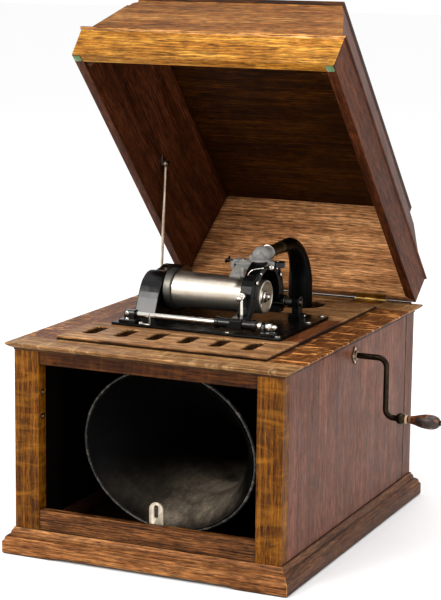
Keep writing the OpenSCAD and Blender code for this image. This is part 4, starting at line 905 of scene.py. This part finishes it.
def bell_at(t):
    """The bell's oval section from mouth, 0, to elbow, 1: y, height of its middle and half widths."""
    ease = t * t * (3 - 2 * t)
    flare = (1 - t) ** 2.2
    return (12 + t * (BELL_END - 12), 121 + (BELL_Z - 121) * ease, HORN_END_R + (104 - HORN_END_R) * flare,
            HORN_END_R + (84 - HORN_END_R) * flare)


HORN_WALL = 1.3
HORN_SEGS = 120


def oval(y, z, a, b):
    return [(a * cos(q), y, z + b * sin(q)) for q in turns(HORN_SEGS)]


def bell_row(t, grow):
    y, z, a, b = bell_at(t)
    return oval(y, z, a + grow, b + grow)


def build_horn(m):
    s = Shape(HORN_MATRIX)
    ts = [(k / 40) ** 1.35 for k in range(41)]
    y, z, a, b = bell_at(0)
    a, b = a + HORN_WALL, b + HORN_WALL
    rim = []
    for k in range(13):
        w = radians(200 - k * 400 / 12 * 0.86)
        rim.append(oval(y + 2.0 - 1.9 * sin(w), z, a + 1.5 * cos(w), b + 1.5 * cos(w)))
    outer = [bell_row(t, 0.0) for t in ts[1:]]
    inner = [bell_row(t, -HORN_WALL) for t in reversed(ts)]
    s.grid(rim + outer + inner, closed_rows=True)
    s.piece("horn_flare", m["japan_horn"], "horn", "horn_bell", angle=60)
    # The wired edge of the mouth, rubbed back to grey metal.
    wire = Shape(HORN_MATRIX)
    wire.grid([oval(y + 2.0 + 2.05 * sin(w), z, a + 1.65 * cos(w), b + 1.65 * cos(w)) for w in turns(16)],
              closed_rows=True)
    wire.piece("horn_rim", m["rim"], "horn", angle=60)
    # The elbow turns up behind the bell into the tube: its outer skin, then its inner one.
    e = Shape(HORN_MATRIX)
    rows = []
    for grow, order in ((0.0, 1), (-HORN_WALL, -1)):
        part = []
        for k in range(25):
            t = k / 24
            w = radians(90 * t)
            r = HORN_END_R + (HORN_TUBE_R - HORN_END_R) * t + grow
            cy, cz = BELL_END + ELBOW_R * sin(w), BELL_Z + ELBOW_R * (1 - cos(w))
            part.append([(r * cos(q), cy - r * sin(q) * sin(w), cz + r * sin(q) * cos(w)) for q in turns(72)])
        r = HORN_TUBE_R + grow
        part.append([(r * cos(q), BELL_END + ELBOW_R - r * sin(q), 213.0) for q in turns(72)])
        rows += part[::order]
    e.grid(rows, closed_rows=True)
    e.piece("horn_tube", m["japan_horn"], "horn", "horn_elbow", angle=60)
    # Folded seams inside the flare: three low runs that meet near the throat.
    q = Shape(HORN_MATRIX)
    for angle, start in ((250, 0.70), (292, 0.62), (330, 0.66)):
        path = []
        for k in range(25):
            t = start + (0.965 - start) * k / 24
            yy, zz, aa, bb = bell_at(t)
            w = radians(angle)
            path.append(((aa - 1.4) * cos(w), yy, zz + (bb - 1.4) * sin(w)))
        q.tube(path, 0.36, 8)
    q.piece("horn_seams", m["seam"], "horn", angle=60)


# ---- Pieces: small parts of the case ----
def build_deck_front(m):
    """The front deck board in one piece, with six round-ended slots and the plug below that seats it."""
    slots = []
    for k in range(6):
        x = -6 + (k - 2.5) * 36.4
        slots.append(circle(x, -141.2 + 7.7, 7.7, 24, 180, 360) + circle(x, -97.2 - 7.7, 7.7, 24, 0, 180))
    s = Shape()
    s.plate(rect(-DECK_HW, -165.2, DECK_HW, -80.2), "z", TOP_Z, DECK_Z, slots)
    s.plate(rect(-PLUG_HW, -165.2, PLUG_HW, -80.2), "z", 222.6, TOP_Z, slots)
    s.piece("deck_grille", m["deck_x"], "cabinet", "deck_front", bevel=0.5, angle=40)


def build_keeper(m):
    """The slotted plate under the horn's mouth and the post that the horn turns on."""
    s = Shape()
    y0 = -HALF_D + 14.0
    outline = [(-2, 31), (14, 31), (14, 63.5)] + circle(6, 63.5, 8, 20, 0, 180)[1:] + [(-2, 63.5)]
    slot = circle(6, 66.2, 2.4, 12, 0, 180) + circle(6, 57, 2.4, 12, 180, 360)
    s.plate(outline, "y", y0, y0 + 1.8, [slot, circle(1.4, 35.5, 1.2, 16), circle(10.6, 35.5, 1.2, 16)])
    s.turned((6, -171, 10), Z, [(0, 4), (19.2, 4), (20, 3.2)], 32)
    s.piece("keeper_plate", m["keeper"], "cabinet", "horn_keeper", bevel=0.4, angle=40)
    f = Shape()
    for x in (1.4, 10.6):
        f.screw((x, y0 + 0.1, 35.5), (0, -1, 0), 1.6, 0.8, 0.8)
    f.piece("keeper_screws", m["nickel"], "cabinet", angle=30)


def build_catches(m):
    """Two small plates inside the left stile, which held the missing grille."""
    s = Shape()
    x0 = -HALF_W + 28.5
    for z in (150.5, 176.5):
        s.prism(rect(-192.4, z - 2.7, -186.6, z + 2.7), "x", x0, x0 + 1.0)
        s.screw((x0 + 1.0, -189, z), X, 1.5, 0.8, 0.6)
    s.piece("catch_plates", m["nickel_dark"], "cabinet", "grille_catches", bevel=0.2, angle=50)


def build_escutcheon(m):
    """The diamond plate round the crank's hole, its collar and its four screws."""
    y, z = CRANK
    s = Shape()
    diamond = []
    corners = [(-8.4, 0), (0, -10.2), (8.4, 0), (0, 10.2)]
    for i in range(4):
        a, b = Vector(corners[i]), Vector(corners[(i + 1) % 4])
        diamond += [tuple(a.lerp(b, k) + Vector((y, z))) for k in (0.08, 0.3, 0.5, 0.7, 0.92)]
    s.plate(diamond, "x", HALF_W, HALF_W + 1.5, [circle(y, z, 3.4, 28)])
    s.ring((0, y, z), X, [(HALF_W + 1.0, 3.3), (HALF_W + 1.0, 5.4), (HALF_W + 1.8, 5.2), (HALF_W + 2.4, 4.8),
                          (HALF_W + 4.0, 4.7), (HALF_W + 4.4, 4.2), (HALF_W + 4.4, 3.3)], 40)
    s.ring((0, y, z), X, [(HALF_W - 12, 3.3), (HALF_W - 12, 5.9), (HALF_W, 5.9), (HALF_W, 3.3)], 32)
    s.piece("crank_plate", m["nickel_dark"], "cabinet", "escutcheon", bevel=0.25, angle=35)
    f = Shape()
    for dy, dz in ((0, 7.2), (0, -7.2), (6.0, 0), (-6.0, 0)):
        f.screw((HALF_W + 1.4, y + dy, z + dz), X, 1.25, 0.7, 0.7)
    f.piece("crank_plate_screws", m["nickel"], "cabinet", angle=30)


def build_crank_grip(m):
    """The turned wooden grip and the ferrule beside it."""
    y = CRANK[0]
    s = Shape()
    s.ring((0, y, HANDLE_Z), X, [(215.4, 2.1), (215.4, 3.7), (216.2, 4.3), (217.6, 4.3), (218.2, 4.0),
                                 (220, 4.4), (224, 5.3), (228, 6.4), (232, 7.3), (236, 7.85), (239.5, 8.0),
                                 (243, 7.8), (246, 7.1), (248.6, 5.9), (250.2, 4.4), (250.8, 3.2),
                                 (250.8, 2.1)], 56)
    s.piece("grip_turned", m["grip"], "grip", "crank_grip", angle=40)
    c = Shape()
    c.ring((0, y, HANDLE_Z), X, [(212.4, 2.0), (212.4, 4.1), (212.9, 4.6), (213.9, 4.6), (214.4, 4.3),
                                 (215.0, 3.9), (215.0, 2.0)], 40)
    c.piece("grip_ferrule", m["tan"], "crank_arm", angle=35)


def build_hinges(m):
    s = Shape()
    for sx in (-1, 1):
        for dx in (-13, 0, 13):
            for dy in (-8, -18):
                s.screw((sx * 96 + dx + (3 if dy < -10 else 0), HINGE_Y + dy, TOP_Z - 0.5), Z, 1.7, 0.44,
                        0.3 + dx)
    s.piece("hinge_screws", m["brass"], "cabinet", angle=30)


def build_rear_shade_strip(m):
    """A low dark strip on the rear edge of the top, which closes the line of light under the lid: a dark
    sheet that stands in for the shade in the gap there.
    """
    s = Shape()
    for x0, x1 in ((-146, -116), (-76, 76), (116, 146)):
        s.prism([(203.8, TOP_Z - 0.1), (206.0, TOP_Z - 0.1), (206.0, TOP_Z + 1.08), (204.2, TOP_Z + 1.08)],
                "x", x0, x1)
    s.piece("rear_shade_strip", m["inner"], "cabinet", bevel=0.15, angle=40)


def build_pads(m):
    """Two rounded felt pads under the lid's front corners."""
    s = Shape(LID_MATRIX)
    for sx in (-1, 1):
        rows = []
        cx, cy = sx * 145.2, -405.2 + 5.3
        for h, r in ((0.25, 3.9), (0.5, 4.25), (0.95, 4.3), (1.2, 4.0)):
            rows.append([(cx + r * copysign(abs(cos(a)) ** 0.42, cos(a)) * (1 + 0.03 * sin(5 * a)),
                          cy + r * copysign(abs(sin(a)) ** 0.42, sin(a)) * (1 + 0.03 * cos(7 * a)),
                          h + 0.05 * sin(9 * a + h)) for a in turns(48)])
        s.grid(rows, caps=True)
    pad = s.piece("felt_cushions", m["felt"], "lid", "lid_pads", angle=60)


def build_stay(m):
    """The lid's stay: an eye on the lid's pin and a rod that hangs from it, 4 degrees off upright."""
    eye = LID_MATRIX @ Vector((0, -172.9, 46.3))
    s = Shape(turned_at(-132, eye.y, eye.z, radians(-4), "X"))
    s.ring((0, 0, 0), X, collar(-1.9, 1.9, 1.7, 3.8, 4.2, 0.5), 40)
    s.turned((0, 0, -3.4), (0, 0, -1), [(0, 1.5), (1.4, 2.2), (4.5, 2.0), (7, 1.75), (120, 1.7), (160.6, 1.7),
                                        (161.6, 1.2)], 28)
    s.piece("stay_wire", m["stay"], "lid_stay", "stay_rod", angle=40)


BUILDERS = (build_gooseneck, build_sleeve, build_bar, build_frame, build_carriage_small,
            build_lift_lever, build_housing, build_guide_rod, build_bed_screws, build_mandrel,
            build_horn, build_deck_front, build_keeper, build_catches, build_escutcheon,
            build_crank_grip, build_hinges, build_rear_shade_strip, build_pads, build_stay)


# ---- Camera, floor and lights ----
def camera_from_photo():
    """The viewing angle of the reference: 24.2 degrees to the right, 10.6 above, a long lens."""
    azimuth, elevation, roll = map(radians, (24.249, 10.587, 0.661))
    back = Vector((sin(azimuth) * cos(elevation), -cos(azimuth) * cos(elevation), sin(elevation)))
    right = Vector((cos(azimuth), sin(azimuth), 0))
    up = back.cross(right)
    side = right * cos(roll) + up * sin(roll)
    top = up * cos(roll) - right * sin(roll)
    data = bpy.data.cameras.new("Camera")
    data.sensor_width = 36
    data.lens = 1959.317 * 36 / 600
    data.clip_start, data.clip_end = 0.05, 60
    cam = linked("Camera", data)
    turn = Matrix((side, top, back)).transposed()
    cam.matrix_world = Matrix.Translation(Vector((865.3, -1933.9, 649.5)) * MM) @ turn.to_4x4()
    bpy.context.scene.camera = cam


def area_light(name, place, aim, size, power, colour=(1, 1, 1)):
    data = bpy.data.lights.new(name, "AREA")
    data.shape = "RECTANGLE"
    data.size, data.size_y = size
    data.energy = power
    data.color = colour
    obj = linked(name, data)
    obj.location = place
    obj.rotation_mode = "QUATERNION"
    obj.rotation_quaternion = (Vector(aim) - Vector(place)).to_track_quat("-Z", "Y")


def stage_and_lights():
    t = Tree("floor")
    t.put(Base_Color=(0.93, 0.93, 0.93, 1), Roughness=0.9, Specular_IOR_Level=0.1)
    bm = bmesh.new()
    bmesh.ops.create_grid(bm, x_segments=1, y_segments=1, size=14)
    mesh = bpy.data.meshes.new("floor")
    bm.to_mesh(mesh)
    bm.free()
    mesh.materials.append(t.material)
    floor = linked("floor", mesh)
    floor.location = (0, 0, -0.0003)
    world = bpy.data.worlds.new("World")
    bpy.context.scene.world = world
    world.use_nodes = True
    sky = world.node_tree.nodes["Background"].inputs
    sky["Color"].default_value = (1, 1, 1, 1)
    sky["Strength"].default_value = 1.04
    area_light("key_left", (-1.05, -2.0, 1.55), (0, 0, 0.24), (1.1, 0.9), 44, (1.0, 0.97, 0.92))
    area_light("fill_right", (2.2, -0.9, 0.9), (0, 0, 0.15), (1.0, 1.4), 14, (0.96, 0.97, 1.0))
    area_light("over", (0.1, -0.1, 2.1), (0, 0, 0.2), (1.4, 1.4), 18)
    view = bpy.context.scene.view_settings
    view.view_transform = "Standard"
    view.look = "None"


camera_from_photo()
stage_and_lights()
materials = build_materials()
dress_nodes(materials)
for build in BUILDERS:
    build(materials)
